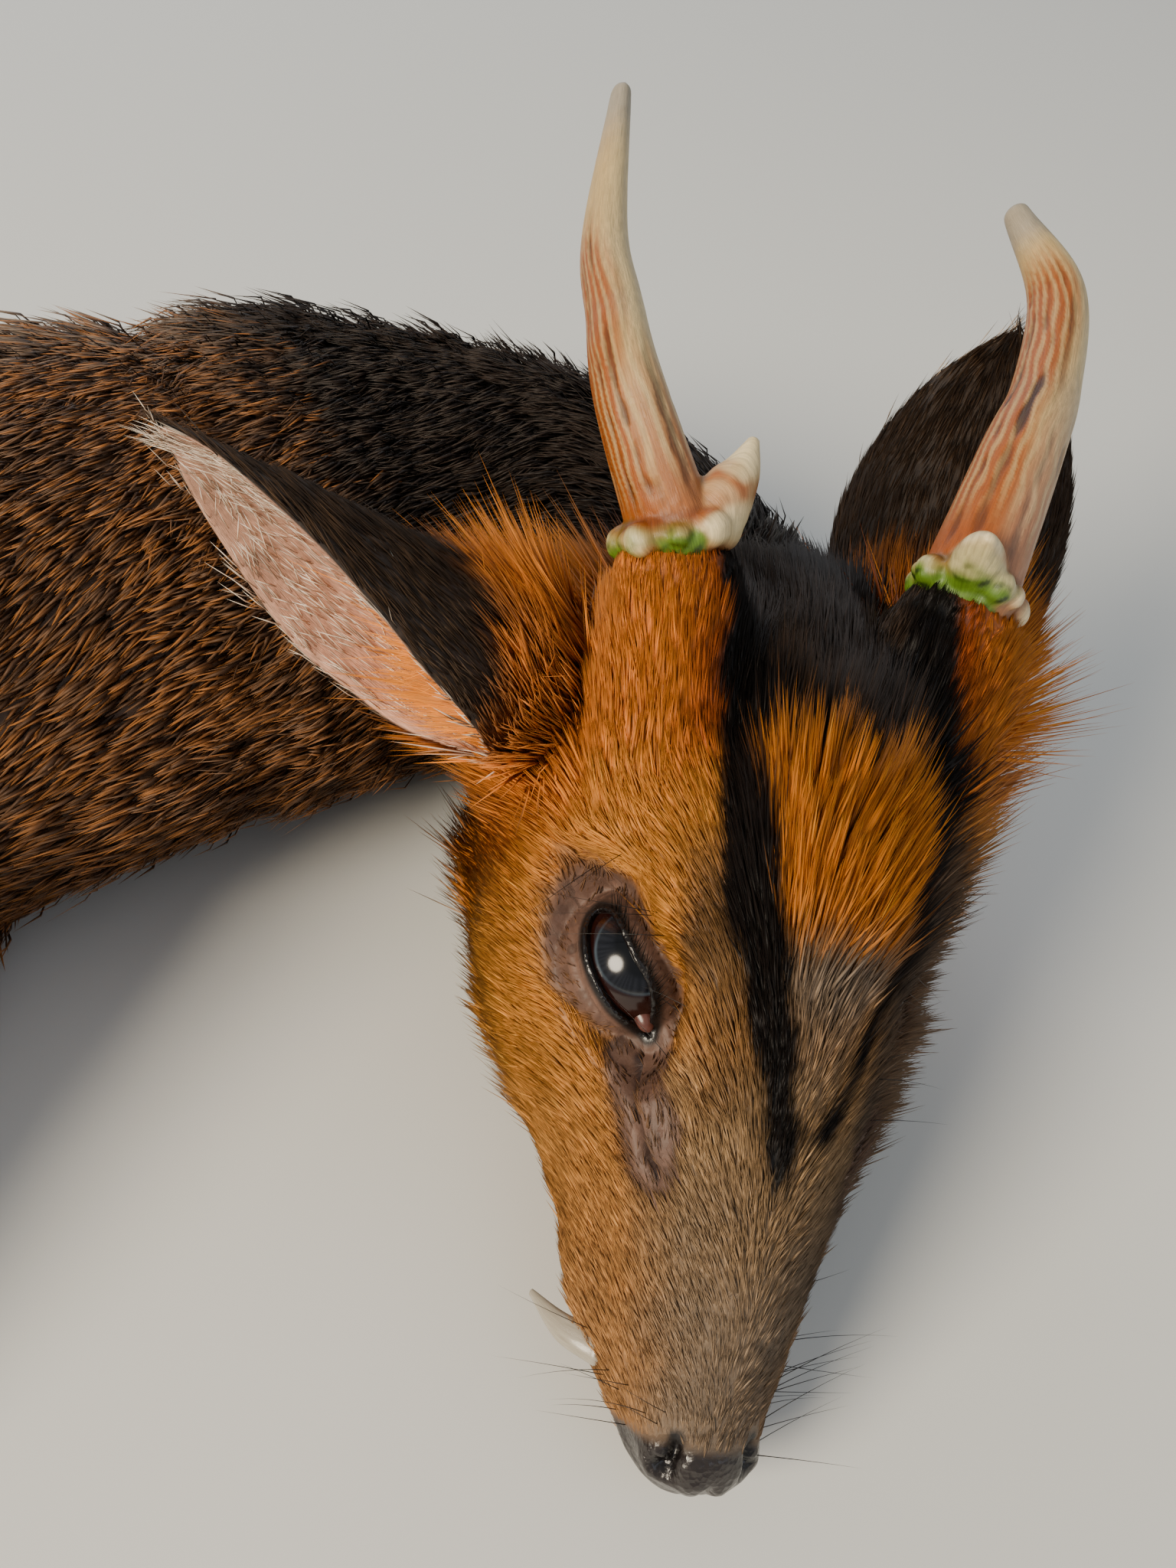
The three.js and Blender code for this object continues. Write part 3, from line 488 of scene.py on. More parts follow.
# On the face the hair runs back from the nose and down from the midline, and parts round the eyes.
def faceFlow(points):
    side = np.where(points[:, 1] < 0, -1, 1)
    down = smoothstep(8, 40, np.abs(points[:, 1])) * smoothstep(70, 0, points[:, 0])
    flow = np.stack([-np.ones(len(points)), side * 0.35 * down, -0.75 * down], -1)
    return unit(flow)


points, faces, uv = headGrid(coatDepth["head"])
addSource(headToWorld(points), faces, faceFlow(points) @ axes, uv, "head")
nosePoints, noseFaces = ballGrid((83.5, 0, -30), (7.2, 12, 9), tilt=18)
addSource(headToWorld(nosePoints), noseFaces, faceFlow(nosePoints) @ axes, np.zeros((len(nosePoints), 2)), "head")
for side, plan in antlerPlans.items():
    addTube(stalkStations(plan), headToWorld, "stalk", 24, 40, blunt=0.2)
addTube(neckStations, photoToWorld, "neck", 60, 90, blunt=0.3)
addTube(trunkStations, bodyToWorld, "trunk", 110, 120, blunt=0.4)
addTube(tailStations, bodyToWorld, "tail", 50, 30, blunt=0.3)
for plan in legs.values():
    for region, steps in (("upper", 40), ("middle", 40), ("lower", 60)):
        if region in plan:
            addTube(legStations(plan[region]), bodyToWorld, region, steps, 36, blunt=0.45)

# Each ear in the head's frame: its base, the way it points, the way its cup faces, and how far its tip bends.
earPlans = asArrays({
    "r": {"base": (-49.5, -41.5, 5.5), "axis": (0.02, -0.895, 0.446), "facing": (0.858, -0.213, -0.467),
          "bend": 5.4},
    "l": {"base": (-56, 38, 8), "axis": (-0.88, 0.13, 0.45), "facing": (-0.43, 0.3, -0.85), "bend": 4},
})
earShape = {"length": 87, "bulb": 13.4, "thick": 1.5, "wide": 1.25}
# Share of the ear's length, radius of the arc and its half angle in degrees.
earRows = [(0, 13, 165), (0.12, 14.5, 145), (0.3, 18.5, 108), (0.5, 21, 84), (0.7, 20.5, 62), (0.86, 18, 42),
           (0.96, 15, 20), (1, 14, 6)]
for plan in earPlans.values():
    earAxis = unit(plan["axis"])
    ball, ballFaces = ballGrid(plan["base"] + 2 * earAxis, (11.5, 11.5, 11.5))
    addSource(headToWorld(ball), ballFaces, np.repeat(earAxis[None], len(ball), 0) @ axes,
              np.full((len(ball), 2), 0.5), "head")


# Turns the faces of a closed mesh outward.
def faceOut(mesh):
    build = bmesh.new()
    build.from_mesh(mesh)
    bmesh.ops.recalc_face_normals(build, faces=build.faces)
    build.to_mesh(mesh)
    build.free()


# One mesh of closed surfaces that run into one another, rebuilt as a single skin on a grid of small cubes.
def fuse(surfaces, size):
    rough = addMesh("rough", *joined(surfaces))
    faceOut(rough.data)
    remesh = rough.modifiers.new("cubes", "REMESH")
    remesh.mode = "VOXEL"
    remesh.voxel_size = size * 0.001
    made = bpy.data.meshes.new_from_object(rough.evaluated_get(bpy.context.evaluated_depsgraph_get()))
    bpy.data.objects.remove(rough)
    return made


# Splits the quads that pass a test of their centre into four.
def refine(mesh, test):
    build = bmesh.new()
    build.from_mesh(mesh)
    centres = np.array([f.calc_center_median() for f in build.faces]) * 1000
    chosen = np.nonzero(test(centres))[0]
    build.faces.ensure_lookup_table()
    edges = {e for i in chosen for e in build.faces[i].edges}
    bmesh.ops.subdivide_edges(build, edges=list(edges), cuts=1, use_grid_fill=True)
    build.to_mesh(mesh)
    build.free()


# One property of all the elements of a mesh as rows of numbers.
def readMesh(elements, key, columns, kind=np.float32):
    flat = np.empty(len(elements) * columns, kind)
    elements.foreach_get(key, flat)
    return flat.reshape(-1, columns)


def meshPoints(mesh):
    return readMesh(mesh.vertices, "co", 3).astype(float) * 1000


def meshNormals(mesh):
    return readMesh(mesh.vertex_normals, "vector", 3).astype(float)


def aboveFloor(points, gap=0.02):
    return np.maximum(points, [-np.inf, -np.inf, gap])


def setPoints(mesh, points):
    mesh.vertices.foreach_set("co", (points * 0.001).astype(np.float32).ravel())
    mesh.update()


# Moves each point towards the mean of its neighbours, by a share of its own.
def relax(mesh, share, times):
    a, b = readMesh(mesh.edges, "vertices", 2, np.int32).T
    points = meshPoints(mesh)
    count = np.bincount(a, minlength=len(points)) + np.bincount(b, minlength=len(points))
    for _ in range(times):
        total = np.stack([np.bincount(a, points[b, k], len(points)) + np.bincount(b, points[a, k], len(points))
                          for k in range(3)], -1)
        points += share[:, None] * (total / count[:, None] - points)
    setPoints(mesh, points)


skinCube = 3.25  # keeps the skin under 200,000 triangles
skinMesh = fuse([(part["points"], part["faces"]) for part in sources], skinCube)
print("skin fused", len(skinMesh.polygons))
relax(skinMesh, np.full(len(skinMesh.vertices), 0.5), 3)

# The eye's own frame about the middle of the eyeball: along the opening to the nose, up over the lid, and out.
eyeTurn = {"out": (0.28, -0.58, 0.765), "along": (0.90, 0.43, 0.01)}
eyeOut, eyeAlong = unit(np.array(eyeTurn["out"])), np.array(eyeTurn["along"])
eyeAlong = unit(eyeAlong - eyeOut * (eyeAlong @ eyeOut))
eyeFrame = np.array([eyeAlong, np.cross(eyeOut, eyeAlong), eyeOut])
eyeMiddle = np.array([eyeSpot["x"], -eyeSpot["y"], eyeSpot["z"]])
lidMiddle = (3, -1, 9)  # in the eye's frame


# A point in the eye's frame, for the right eye as it is and for the left one mirrored.
def toEye(points, side):
    return (points * [1, -side, 1] - eyeMiddle) @ eyeFrame.T


def fromEye(points, side):
    return (points @ eyeFrame + eyeMiddle) * [1, -side, 1]


# Parts of the skin that get finer faces, as tests of places on it.
def nearEyes(places, reach):
    head = worldToHead(places)
    return np.any([np.linalg.norm(toEye(head, side) - lidMiddle, axis=1) < reach for side in (-1, 1)], 0)


def fineHead(places):
    x, y, z = worldToHead(places).T
    return (x > -70) & (np.abs(y) < 55) & (z < 50) & (z > -75)


def finerFace(places):
    x, y, z = worldToHead(places).T
    muzzle = (x > 70) & (z > -48)
    slits = (x > 14) & (x < 50) & (np.abs(np.abs(y) - 18) < 9) & (z > -16) & (z < 6)
    mouth = (x > 36) & (np.abs(z + 40.5) < 6)
    return nearEyes(places, 19) | muzzle | slits | mouth


refine(skinMesh, fineHead)
refine(skinMesh, finerFace)
refine(skinMesh, lambda places: nearEyes(places, 16))
relax(skinMesh, 0.5 * fineHead(meshPoints(skinMesh)), 4)
print("skin refined", len(skinMesh.polygons))


# The opening between the lids in the eye's frame: along it, its lower edge and its upper edge.
openingRows = [(-9.8, -0.2, 0.2), (-9.3, -1.5, 1.2), (-7.5, -2.9, 2.5), (-3, -4.4, 3.1), (2, -5, 3.2),
               (7, -4.9, 3.2), (10, -4.1, 1.8), (12.4, -3.1, -0.5), (14.2, -2.5, -2.3)]
lidSettings = {"reach": 26, "thick": 1.2, "floor": 5.4, "blend": (12, 3.5), "turnIn": 1.3, "sink": 5}


# Distance from points to a line through given points, and the share of the way along it.
def toLine(points, line):
    line = np.asarray(line, float)
    best, where = np.full(len(points), 1e9), np.zeros(len(points))
    for i in range(len(line) - 1):
        a, b = line[i], line[i + 1]
        t = np.clip(((points - a) @ (b - a)) / ((b - a) @ (b - a)), 0, 1)
        d = np.linalg.norm(points - a - t[:, None] * (b - a), axis=1)
        nearer = d < best
        best = np.where(nearer, d, best)
        where = np.where(nearer, (i + t) / (len(line) - 1), where)
    return best, where


# Signed distance from the opening's edge, above zero outside it.
def outsideOpening(along, up):
    key = np.linspace(openingRows[0][0], openingRows[-1][0], 60)
    low, high = readRows(openingRows, key).T
    outline = np.vstack([np.stack([key, low], -1), np.stack([key, high], -1)[::-1], [[key[0], low[0]]]])
    distance, _ = toLine(np.stack([along, up], -1), outline)
    lowHere, highHere = readRows(openingRows, np.clip(along, key[0], key[-1])).T
    within = (along > key[0]) & (along < key[-1]) & (up > lowHere) & (up < highHere)
    return np.where(within, -distance, distance)


# The lids: within reach of the opening the skin is drawn onto a sphere just over the eyeball, height(a, b) =
# sqrt(R^2 - a^2 - b^2), and at the edge it turns in and goes under the eyeball. Folds are rings round it.
def shapeLids(head, side):
    eyePoints = toEye(head, side)
    within = np.linalg.norm(eyePoints - lidMiddle, axis=1) < lidSettings["reach"]
    near = np.nonzero(within & (eyePoints[:, 2] > -2))[0]
    along, up, out = eyePoints[near].T
    edge = outsideOpening(along, up)
    radius = eyeSpot["radius"] + lidSettings["thick"]
    ball = np.sqrt(np.maximum(radius ** 2 - along ** 2 - up ** 2, 0))
    lid = np.maximum(ball, lidSettings["floor"]) + bell(ball, 0.25, 1.5, lidSettings["floor"])
    share = smoothstep(*lidSettings["blend"], edge)
    above = smoothstep(-3, 2, up)
    folds = above * (bell(edge, 0.55, 1.5, 6.4) - bell(edge, 0.6, 0.8, 4.3))
    folds += (1 - above) * (bell(edge, 0.35, 1.2, 4.6) - bell(edge, 0.4, 0.7, 3))
    angle = np.arctan2(up + 1, along - 2)
    folds += 0.12 * np.sin(angle * 34 + edge) * smoothstep(1.5, 3, edge) * smoothstep(10, 6, edge)
    outer = out * (1 - share) + (lid + bell(edge, 0.35, 0.7, 0.7)) * share + folds
    inner = lid - lidSettings["sink"] * smoothstep(0, -lidSettings["turnIn"], edge)
    made = np.where(edge > 0, outer, inner + (outer - lid) * smoothstep(-0.6, 0, edge))
    head[near] = fromEye(np.stack([along, up, made], -1), side)
    return near, edge


# Lines of the right side in the head's frame; the mouth's is seen from the side.
slitLine = [(19.6, -18.1, -1.3), (24.3, -18.4, -2.3), (30.8, -17.8, -3.2), (37, -16.2, -4.4), (40.8, -15.3, -5)]
lobeLine = [(23, -15.4, 1.2), (29, -14.6, 0.2), (35, -13.4, -1.6)]
nostrilLine = [(81.3, -6.6, -22.7), (83.6, -7.2, -24.2), (86.4, -7.8, -26.1), (88.4, -9.4, -25.9),
               (87.3, -11.1, -25.8)]
mouthLine = [(90.5, -37.8), (84, -40.3), (66, -42), (44.5, -41)]


# Creases pressed in along lines that are first laid onto the skin, each exp(-(distance / width)^2) deep, with
# soft lips beside them.
def creases(head):
    mirrored = np.stack([head[:, 0], -np.abs(head[:, 1]), head[:, 2]], -1)

    def ontoSkin(line):
        return [mirrored[np.linalg.norm(mirrored - spot, axis=1).argmin()] for spot in line]

    slit, share = toLine(mirrored, ontoSkin(slitLine))
    ends = smoothstep(0, 0.12, share) * smoothstep(1, 0.85, share)
    depth = bell(slit, 2.6, 1.1) * (0.4 + 0.6 * ends)
    depth -= bell(slit, 0.9, 1.7, 3) * ends
    lobe, _ = toLine(mirrored, ontoSkin(lobeLine))
    depth -= bell(lobe, 1.5, 3.2)
    nostril, share = toLine(mirrored, ontoSkin(nostrilLine))
    wing = np.linalg.norm(mirrored - [85.5, -11.5, -29.5], axis=1)
    depth += bell(nostril, 3.2, 1.5) * smoothstep(0, 0.15, share)
    depth -= bell(wing, 0.8, 3.2)
    middle = smoothstep(80, 85, head[:, 0]) * smoothstep(-23, -27, head[:, 2])
    depth += bell(head[:, 1], 1.4, 1.1) * middle
    lips, _ = toLine(head[:, [0, 2]], mouthLine)
    depth += smoothstep(43, 48, head[:, 0]) * (bell(lips, 1.9, 0.95) - bell(lips, 0.7, 1.6, 2.8))
    return depth, slit, lobe, nostril, lips


farOff = 99.0  # the distance noted for what the lids and creases don't reach
points = meshPoints(skinMesh)
normals = meshNormals(skinMesh)
head = worldToHead(points)
onHead = (head[:, 0] > -20) & (head[:, 2] < 40)
depth, slitAway, lobeAway, nostrilAway, lipsAway = creases(head)
head[onHead] -= (normals @ axes.T)[onHead] * depth[onHead, None]
eyeAway = np.full(len(head), farOff)
for side in (-1, 1):
    near, edge = shapeLids(head, side)
    eyeAway[near] = np.minimum(eyeAway[near], edge)
points[onHead] = headToWorld(head)[onHead]
setPoints(skinMesh, points)
relax(skinMesh, 0.25 * (eyeAway < 8) * (eyeAway > 1.5) + 0.4 * (nostrilAway < 4), 2)
print("lids, slits, nose and lips shaped")


# An ear: a sheet round an arc whose radius and opening change along it, run out along its back and home
# along its inside, so that it is closed: point = centre - facing * r cos(a) + across * r sin(a).
def earGrid(plan, steps=70, across=30):
    axis = unit(plan["axis"])
    facing = unit(plan["facing"] - axis * (plan["facing"] @ axis))
    wide = np.cross(axis, facing)
    t = np.linspace(0, 1, steps)
    radius, opened = readRows(earRows, t).T
    radius = radius * earShape["wide"]
    centre = plan["base"] + axis * (t * earShape["length"] * 0.985)[:, None]
    centre += facing * (radius - earShape["bulb"] + plan["bend"] * t ** 2)[:, None]
    share = np.linspace(-1, 1, across)
    angle = np.radians(opened)[:, None] * share
    t, radius = t[:, None], radius[:, None]
    ripple = 0.5 * np.sin(share * 9 + t * 3) * (1 - t) * smoothstep(0.1, 0.3, t)
    thick = earShape["thick"] * (1 - 0.5 * t) * (1 - 0.6 * np.abs(share) ** 3)
    back, front = (
        centre[:, None] - facing * (r * np.cos(angle))[..., None] + wide * (r * np.sin(angle))[..., None]
        for r in (radius - 0.5 + ripple * 0.4, radius - 0.5 - thick + ripple))
    points = np.concatenate([back, front[:, ::-1]], 1)
    flow = np.gradient(points, axis=0)
    inside = np.repeat([0, 1], across)[None].repeat(steps, 0)
    around = np.concatenate([share, share[::-1]]) * 0.24 + 0.25 + inside * 0.5
    columns = 2 * across
    first, second = np.arange(across - 1), np.arange(1, across)
    cap = np.stack([first, second, columns - 1 - second, columns - 1 - first], -1)
    faces = np.vstack([gridFaces(steps, columns), cap[:, ::-1], cap + (steps - 1) * columns])
    return points.reshape(-1, 3), faces, flow.reshape(-1, 3), spread(t, around), inside.ravel()


# Hair directions, unwrap places and regions of the fused skin, from the nearest points of its sources.
def readSources(points):
    table = {key: np.concatenate([part[key] for part in sources]) for key in ("points", "flow", "uv", "region")}
    tree = KDTree(len(table["points"]))
    for i, p in enumerate(table["points"]):
        tree.insert(p, i)
    tree.balance()
    found = [tree.find_n(p, readNearest) for p in points]
    index = np.array([[hit[1] for hit in hits] for hits in found])
    weight = 1 / (np.array([[hit[2] for hit in hits] for hits in found]) + 1)
    flow = unit((table["flow"][index] * weight[..., None]).sum(1))
    return flow, table["uv"][index[:, 0]], table["region"][index], weight


# Directions laid into the skin: unit(v - n (v . n)).
def alongSkin(directions, normals):
    return unit(directions - normals * (directions * normals).sum(1, keepdims=True))


readNearest = 7  # points of the sources that each point of the skin reads
firstEarTile = 40
flow, unwrapped, regionNear, regionWeight = readSources(meshPoints(skinMesh))
build = bmesh.new()
build.from_mesh(skinMesh)
for number, plan in enumerate(earPlans.values()):
    earPoints, earFaces, earFlow, uv, inside = earGrid(plan)
    piece = addMesh("ear", headToWorld(earPoints), earFaces)
    faceOut(piece.data)
    build.from_mesh(piece.data)
    bpy.data.objects.remove(piece)
    named = np.where(inside == 1, regions.index("earInside"), regions.index("earBack"))
    flow = np.vstack([flow, unit(earFlow @ axes)])
    unwrapped = np.vstack([unwrapped, tileOf(uv, firstEarTile + number)])
    regionNear = np.vstack([regionNear, np.repeat(named[:, None], readNearest, 1)])
    regionWeight = np.vstack([regionWeight, np.ones((len(named), readNearest))])
    eyeAway, slitAway, lobeAway, nostrilAway, lipsAway = (
        np.append(a, np.full(len(named), farOff)) for a in (eyeAway, slitAway, lobeAway, nostrilAway, lipsAway))
build.to_mesh(skinMesh)
build.free()
skinMesh.shade_smooth()
points = aboveFloor(meshPoints(skinMesh), 0.05)
setPoints(skinMesh, points)
normals = meshNormals(skinMesh)
head = worldToHead(points)
flow = alongSkin(flow, normals)
print("ears joined,", len(points), "points")


# Colours of the animal's hair and skin as sRGB. Hair has one at its root and one, with Tip, at its tip.
linear = linearTones({
    # back and backTip: the back's own darker hair, with a grey tip that is partly a painted sheen
    "flank": "#32231a", "flankTip": "#6a4b32", "tick": "#a5682f", "back": "#352c28", "backTip": "#83766a",
    # nape and napeTip: the nape's own dark hair, made near black partly as painted shadow
    "nape": "#0f0b09", "napeTip": "#2a1f18", "cheek": "#7d4718", "cheekTip": "#df9a45", "gold": "#43200a",
    "goldTip": "#e68a2a", "muzzle": "#54402c", "muzzleTip": "#ab8a62", "ridge": "#43372d",
    # far and farTip: painted shade on the far side of the face, the side turned from the light
    "ridgeTip": "#8d7c6a", "far": "#231b15", "farTip": "#665444", "black": "#0b0908", "blackTip": "#1b1410",
    # crown and crownTip: dark hair between the stalks, made near black partly as painted shadow
    "crown": "#100c09", "crownTip": "#3d2c1e", "throat": "#94755a", "throatTip": "#e8d8be", "orange": "#8a3c0e",
    "orangeTip": "#dc8129", "rust": "#4c1a09", "rustTip": "#a5480f", "brow": "#2c1f16", "browTip": "#6e5233",
    "white": "#a99a86", "whiteTip": "#efe7da", "leg": "#1f1610", "legTip": "#4a3222", "ear": "#1a120e",
    "earTip": "#44311f", "fringe": "#b5977b", "fringeTip": "#f3e9da", "bare": "#5f463a", "nose": "#262120",
    "slit": "#2a1b19", "sparse": "#2c201a", "sparseTip": "#6a5040", "lip": "#84665f", "wet": "#0f0b0b",
    "earSkin": "#c79a82",
})


# A slow wobble of place between -1 and 1: the mean of sines along seeded directions, for clumps and patches.
def wobble(points, size, seed, waves=7):
    dice = np.random.default_rng(seed)
    total = np.zeros(len(points))
    for _ in range(waves):
        direction = unit(dice.normal(size=3)) * 2 * np.pi / size * dice.uniform(0.6, 1.5)
        total += np.sin(points @ direction + dice.uniform(0, 2 * np.pi))
    return total / waves * 1.6


# Distance to the nearer of the places that plans name under a key.
def toNearer(head, plans, key):
    return np.min([np.linalg.norm(head - plan[key], axis=1) for plan in plans.values()], 0)


# The black lines on the brow, from the nose to the antlers, and their half widths there.
# The near line's widths towards the antlers also take in painted shadow beside the black stripe.
bands = [
    {"line": [(49, -0.6, 10), (40, -2.5, 14.8), (29, -4.8, 20.6), (18.7, -8.2, 26.2), (7.5, -12.4, 31.3),
              (-3, -14.5, 35.5), (-12, -15.8, 37.5), (-24, -15.2, 39), (-38, -16, 40), (-52, -20, 46)],
     "width": [1.3, 2.2, 2.8, 3.2, 3.6, 4, 4.4, 4.7, 5, 5.4]},
    {"line": [(42, 4.5, 14), (28, 9.5, 20), (17, 12.6, 27), (6, 16.5, 31), (-6, 19.5, 34), (-15, 21.5, 35),
              (-26, 20, 38), (-38, 18.5, 40), (-52, 20, 46)],
     "width": [0.7, 1.2, 2, 3.6, 4.8, 5.6, 5.5, 5, 4.5]},
]


# The markings: for points with their head-frame places, normals and region shares, the colour of the root and
# of the tip of the hair there, and the share of it that is ticked. Each marking is a soft mask by the distance
# to a line or a plane.
def markings(points, head, normals, share):
    ragged = wobble(points, 14, 3) * 2.2
    x, y, z = head.T
    bodyX, bodyY, _ = worldToBody(points).T
    part = {name: share[:, k] for k, name in enumerate(regions)}
    colours = [np.repeat(linear[name][None], len(points), 0) for name in ("flank", "flankTip")]

    def paint(name, mask):
        colours[:] = [over(c, linear[key], mask) for c, key in zip(colours, (name, name + "Tip"))]

    body = part["neck"] + part["trunk"] + part["upper"]
    # The back: greyish-brown hair of its own, with greyer tips that are partly a painted sheen of light on the
    # coat.
    paint("back", 0.85 * smoothstep(0, 65, bodyY + ragged * 6) * body)
    belly = smoothstep(-58, -84, bodyY + ragged * 3) * smoothstep(-40, -110, bodyX)
    inside = smoothstep(0, 0.5, np.where(points[:, 2] > 40, -normals[:, 2], normals[:, 2]))
    paint("white", belly * (part["trunk"] + inside * part["upper"]))
    paint("leg", part["lower"] + part["middle"] * 0.6)
    under = smoothstep(0.1, -0.5, normals[:, 2])
    paint("white", under * part["tail"])
    paint("orange", (1 - under) * 0.7 * part["tail"])
    face = part["head"] + part["stalk"]
    paint("cheek", face)
    behind = smoothstep(-4, -26, x + ragged)
    paint("orange", face * 0.8 * behind)
    inner = np.abs(y - 1.5) - np.interp(x, [-45, -24, 4, 45], [19, 17, 13, 1])
    paint("rust", face * 0.75 * behind * smoothstep(14, 3, inner + ragged * 1.5))
    paint("rust", part["stalk"] * 0.45 * smoothstep(14, 2, inner + ragged))
    brow = np.linalg.norm((np.stack([x, -np.abs(y), z], -1) - [13, -16, 27]) / [15, 6, 8], axis=1)
    paint("brow", face * 0.9 * smoothstep(1.5, 0.7, brow + ragged * 0.1))
    ridge = smoothstep(-2, 16, z + 0.55 * x - 12 + ragged)
    paint("muzzle", face * smoothstep(10, 40, x + ragged * 2) * (0.3 + 0.7 * ridge))
    paint("ridge", face * smoothstep(36, 74, x + ragged * 2) * (0.35 + 0.45 * ridge))
    paint("throat", face * 0.85 * smoothstep(-48, -60, z + ragged) * smoothstep(60, 30, x))
    # Painted shade: the far side of the face, turned from the light, is darkened.
    far = face * 0.9 * smoothstep(8, 15, y + ragged) * smoothstep(-16, -6, x + ragged)
    paint("far", far * smoothstep(80, 55, x))
    crown = smoothstep(12, 30, z) * smoothstep(2, -3, inner)
    paint("gold", face * crown * smoothstep(20, 10, x + ragged * 1.5) * smoothstep(-17, -10, x + ragged))
    paint("ridge", face * crown * smoothstep(10, 20, x + ragged * 1.5))
    # The crown between the stalks: partly its own dark hair, partly painted shadow cast by the antlers.
    paint("crown", face * smoothstep(12, 30, z) * smoothstep(-10, -17, x + ragged) * smoothstep(3, -2, inner))
    beside = toLine(head, bands[0]["line"])[0] + 3 * ragged
    nearer = smoothstep(1, -1, y - np.interp(x, [-3, 18.7, 49], [-14.5, -8.2, -0.6]))
    paint("brow", face * 0.6 * nearer * smoothstep(12, 4, beside) * smoothstep(6, 16, x) * smoothstep(52, 38, x))
    # The near line is partly painted shadow: its width towards the antlers takes in the shade beside the stripe.
    for band in bands:
        away, along = toLine(head, band["line"])
        edge = away - np.interp(along, np.linspace(0, 1, len(band["width"])), band["width"])
        paint("black", face * smoothstep(1.6, -0.8, edge + ragged * 0.45))
    # The back of the head and the top of the neck go near black: partly the darker nape hair, partly painted
    # shadow of the antlers and ears.
    occiput = part["head"] * smoothstep(-50, -62, x + ragged) * smoothstep(8, -6, np.abs(y) - 26) * (z > -5)
    dark = (part["neck"] + part["trunk"]) * smoothstep(42, 72, bodyX + ragged * 4) * smoothstep(-116, -98, bodyY)
    paint("cheek", 0.8 * part["neck"] * smoothstep(-98, -116, bodyY + ragged))
    dark = np.clip(occiput + dark * smoothstep(40, 65, points[:, 2] + ragged), 0, 1)
    paint("nape", dark)
    ticked = body * (1 - dark) * (1 - belly) * (1 - 0.5 * smoothstep(0, 65, bodyY + ragged * 6))
    paint("ear", part["earBack"])
    base = toNearer(head, earPlans, "base")
    paint("orange", part["earBack"] * 0.8 * smoothstep(38, 20, base + ragged * 2))
    paint("fringe", part["earInside"])
    return (*colours, ticked)


# Distance outside the opening of the nearer eye.
def eyeAwayAt(head):
    away = np.full(len(head), farOff)
    for side in (-1, 1):
        spots = toEye(head, side)
        near = np.linalg.norm(spots - lidMiddle, axis=1) < lidSettings["reach"] + 4
        near &= spots[:, 2] > -2
        away[near] = outsideOpening(spots[near, 0], spots[near, 1])
    return away


regionShare = np.zeros((len(points), len(regions)))
for k in range(regionNear.shape[1]):
    np.add.at(regionShare, (np.arange(len(points)), regionNear[:, k]), regionWeight[:, k])
regionShare /= regionShare.sum(1, keepdims=True)

skinMesh.calc_loop_triangles()
triangles = readMesh(skinMesh.loop_triangles, "vertices", 3, np.int32)
corners = points[triangles]
areas = np.linalg.norm(np.cross(corners[:, 1] - corners[:, 0], corners[:, 2] - corners[:, 0]), axis=1) / 2
rootRegion = regionShare[triangles].mean(1)

# Bare skin reaches further from the opening above and behind it, up to this many millimetres more.
eyeBulge = np.zeros(len(points))
for side in (-1, 1):
    spots = toEye(head, side)
    turned = np.arctan2(spots[:, 1] + 1, spots[:, 0] - 2)
    eyeBulge += np.where(head[:, 1] * side > 0, 4.5 * smoothstep(-0.2, 0.9, np.cos(turned - np.radians(215))), 0)

# How much hair each place carries, from none on bare skin to full; none grows under the animal.
fullness = smoothstep(1.5, 6.5, eyeAway - eyeBulge) * smoothstep(3.6, 6.2, slitAway) * smoothstep(3.4, 6, lobeAway)
fullness = np.maximum(fullness, 0.22 * smoothstep(2.5, 4, eyeAway) * smoothstep(0.8, 1.6, slitAway))
bareHere = np.maximum(smoothstep(7, 3.5, eyeAway - eyeBulge + wobble(points, 8, 51)),
                      np.maximum(smoothstep(7.5, 5.2, slitAway), smoothstep(7, 5, lobeAway)))
fullness *= smoothstep(1.5, 3.5, nostrilAway)
fullness *= np.where((head[:, 0] > 40) & (head[:, 2] < -30), smoothstep(0.8, 3.2, lipsAway), 1)
noseBare = smoothstep(79, 81.5, head[:, 0] - 0.35 * (head[:, 2] + 30)) * (head[:, 2] > -39)
fullness *= (1 - noseBare) * (points[:, 2] > 0.4)

# A coat: how many tufts, their length, width, lift from the skin in degrees, how far they stray, how much
# they draw together into locks, and whether each is bent in two or one straight spike.
coatKeys = ("count", "length", "width", "lift", "stray", "lock", "bent")
coats = {
    "head": (122000, 6.4, 0.46, 24, 0.2, 0.3, False),
    "stalk": (15000, 8, 0.5, 17, 0.2, 0.45, False),
    "neck": (38000, 13, 0.8, 26, 0.27, 0.4, True),
    "trunk": (76000, 12, 0.85, 20, 0.24, 0.3, True),
    "upper": (13000, 14, 1.0, 20, 0.2, 0.35, True),
    "middle": (6000, 11, 1.0, 18, 0.16, 0.3, True),
    "lower": (12000, 6.5, 0.75, 15, 0.12, 0.2, False),
    "tail": (6000, 30, 1.2, 20, 0.25, 0.3, True),
    "earBack": (12000, 6, 0.42, 12, 0.14, 0.2, False),
    "earInside": (3600, 9, 0.26, 18, 0.45, 0, True),
}
biggestPiece = 190000  # triangles

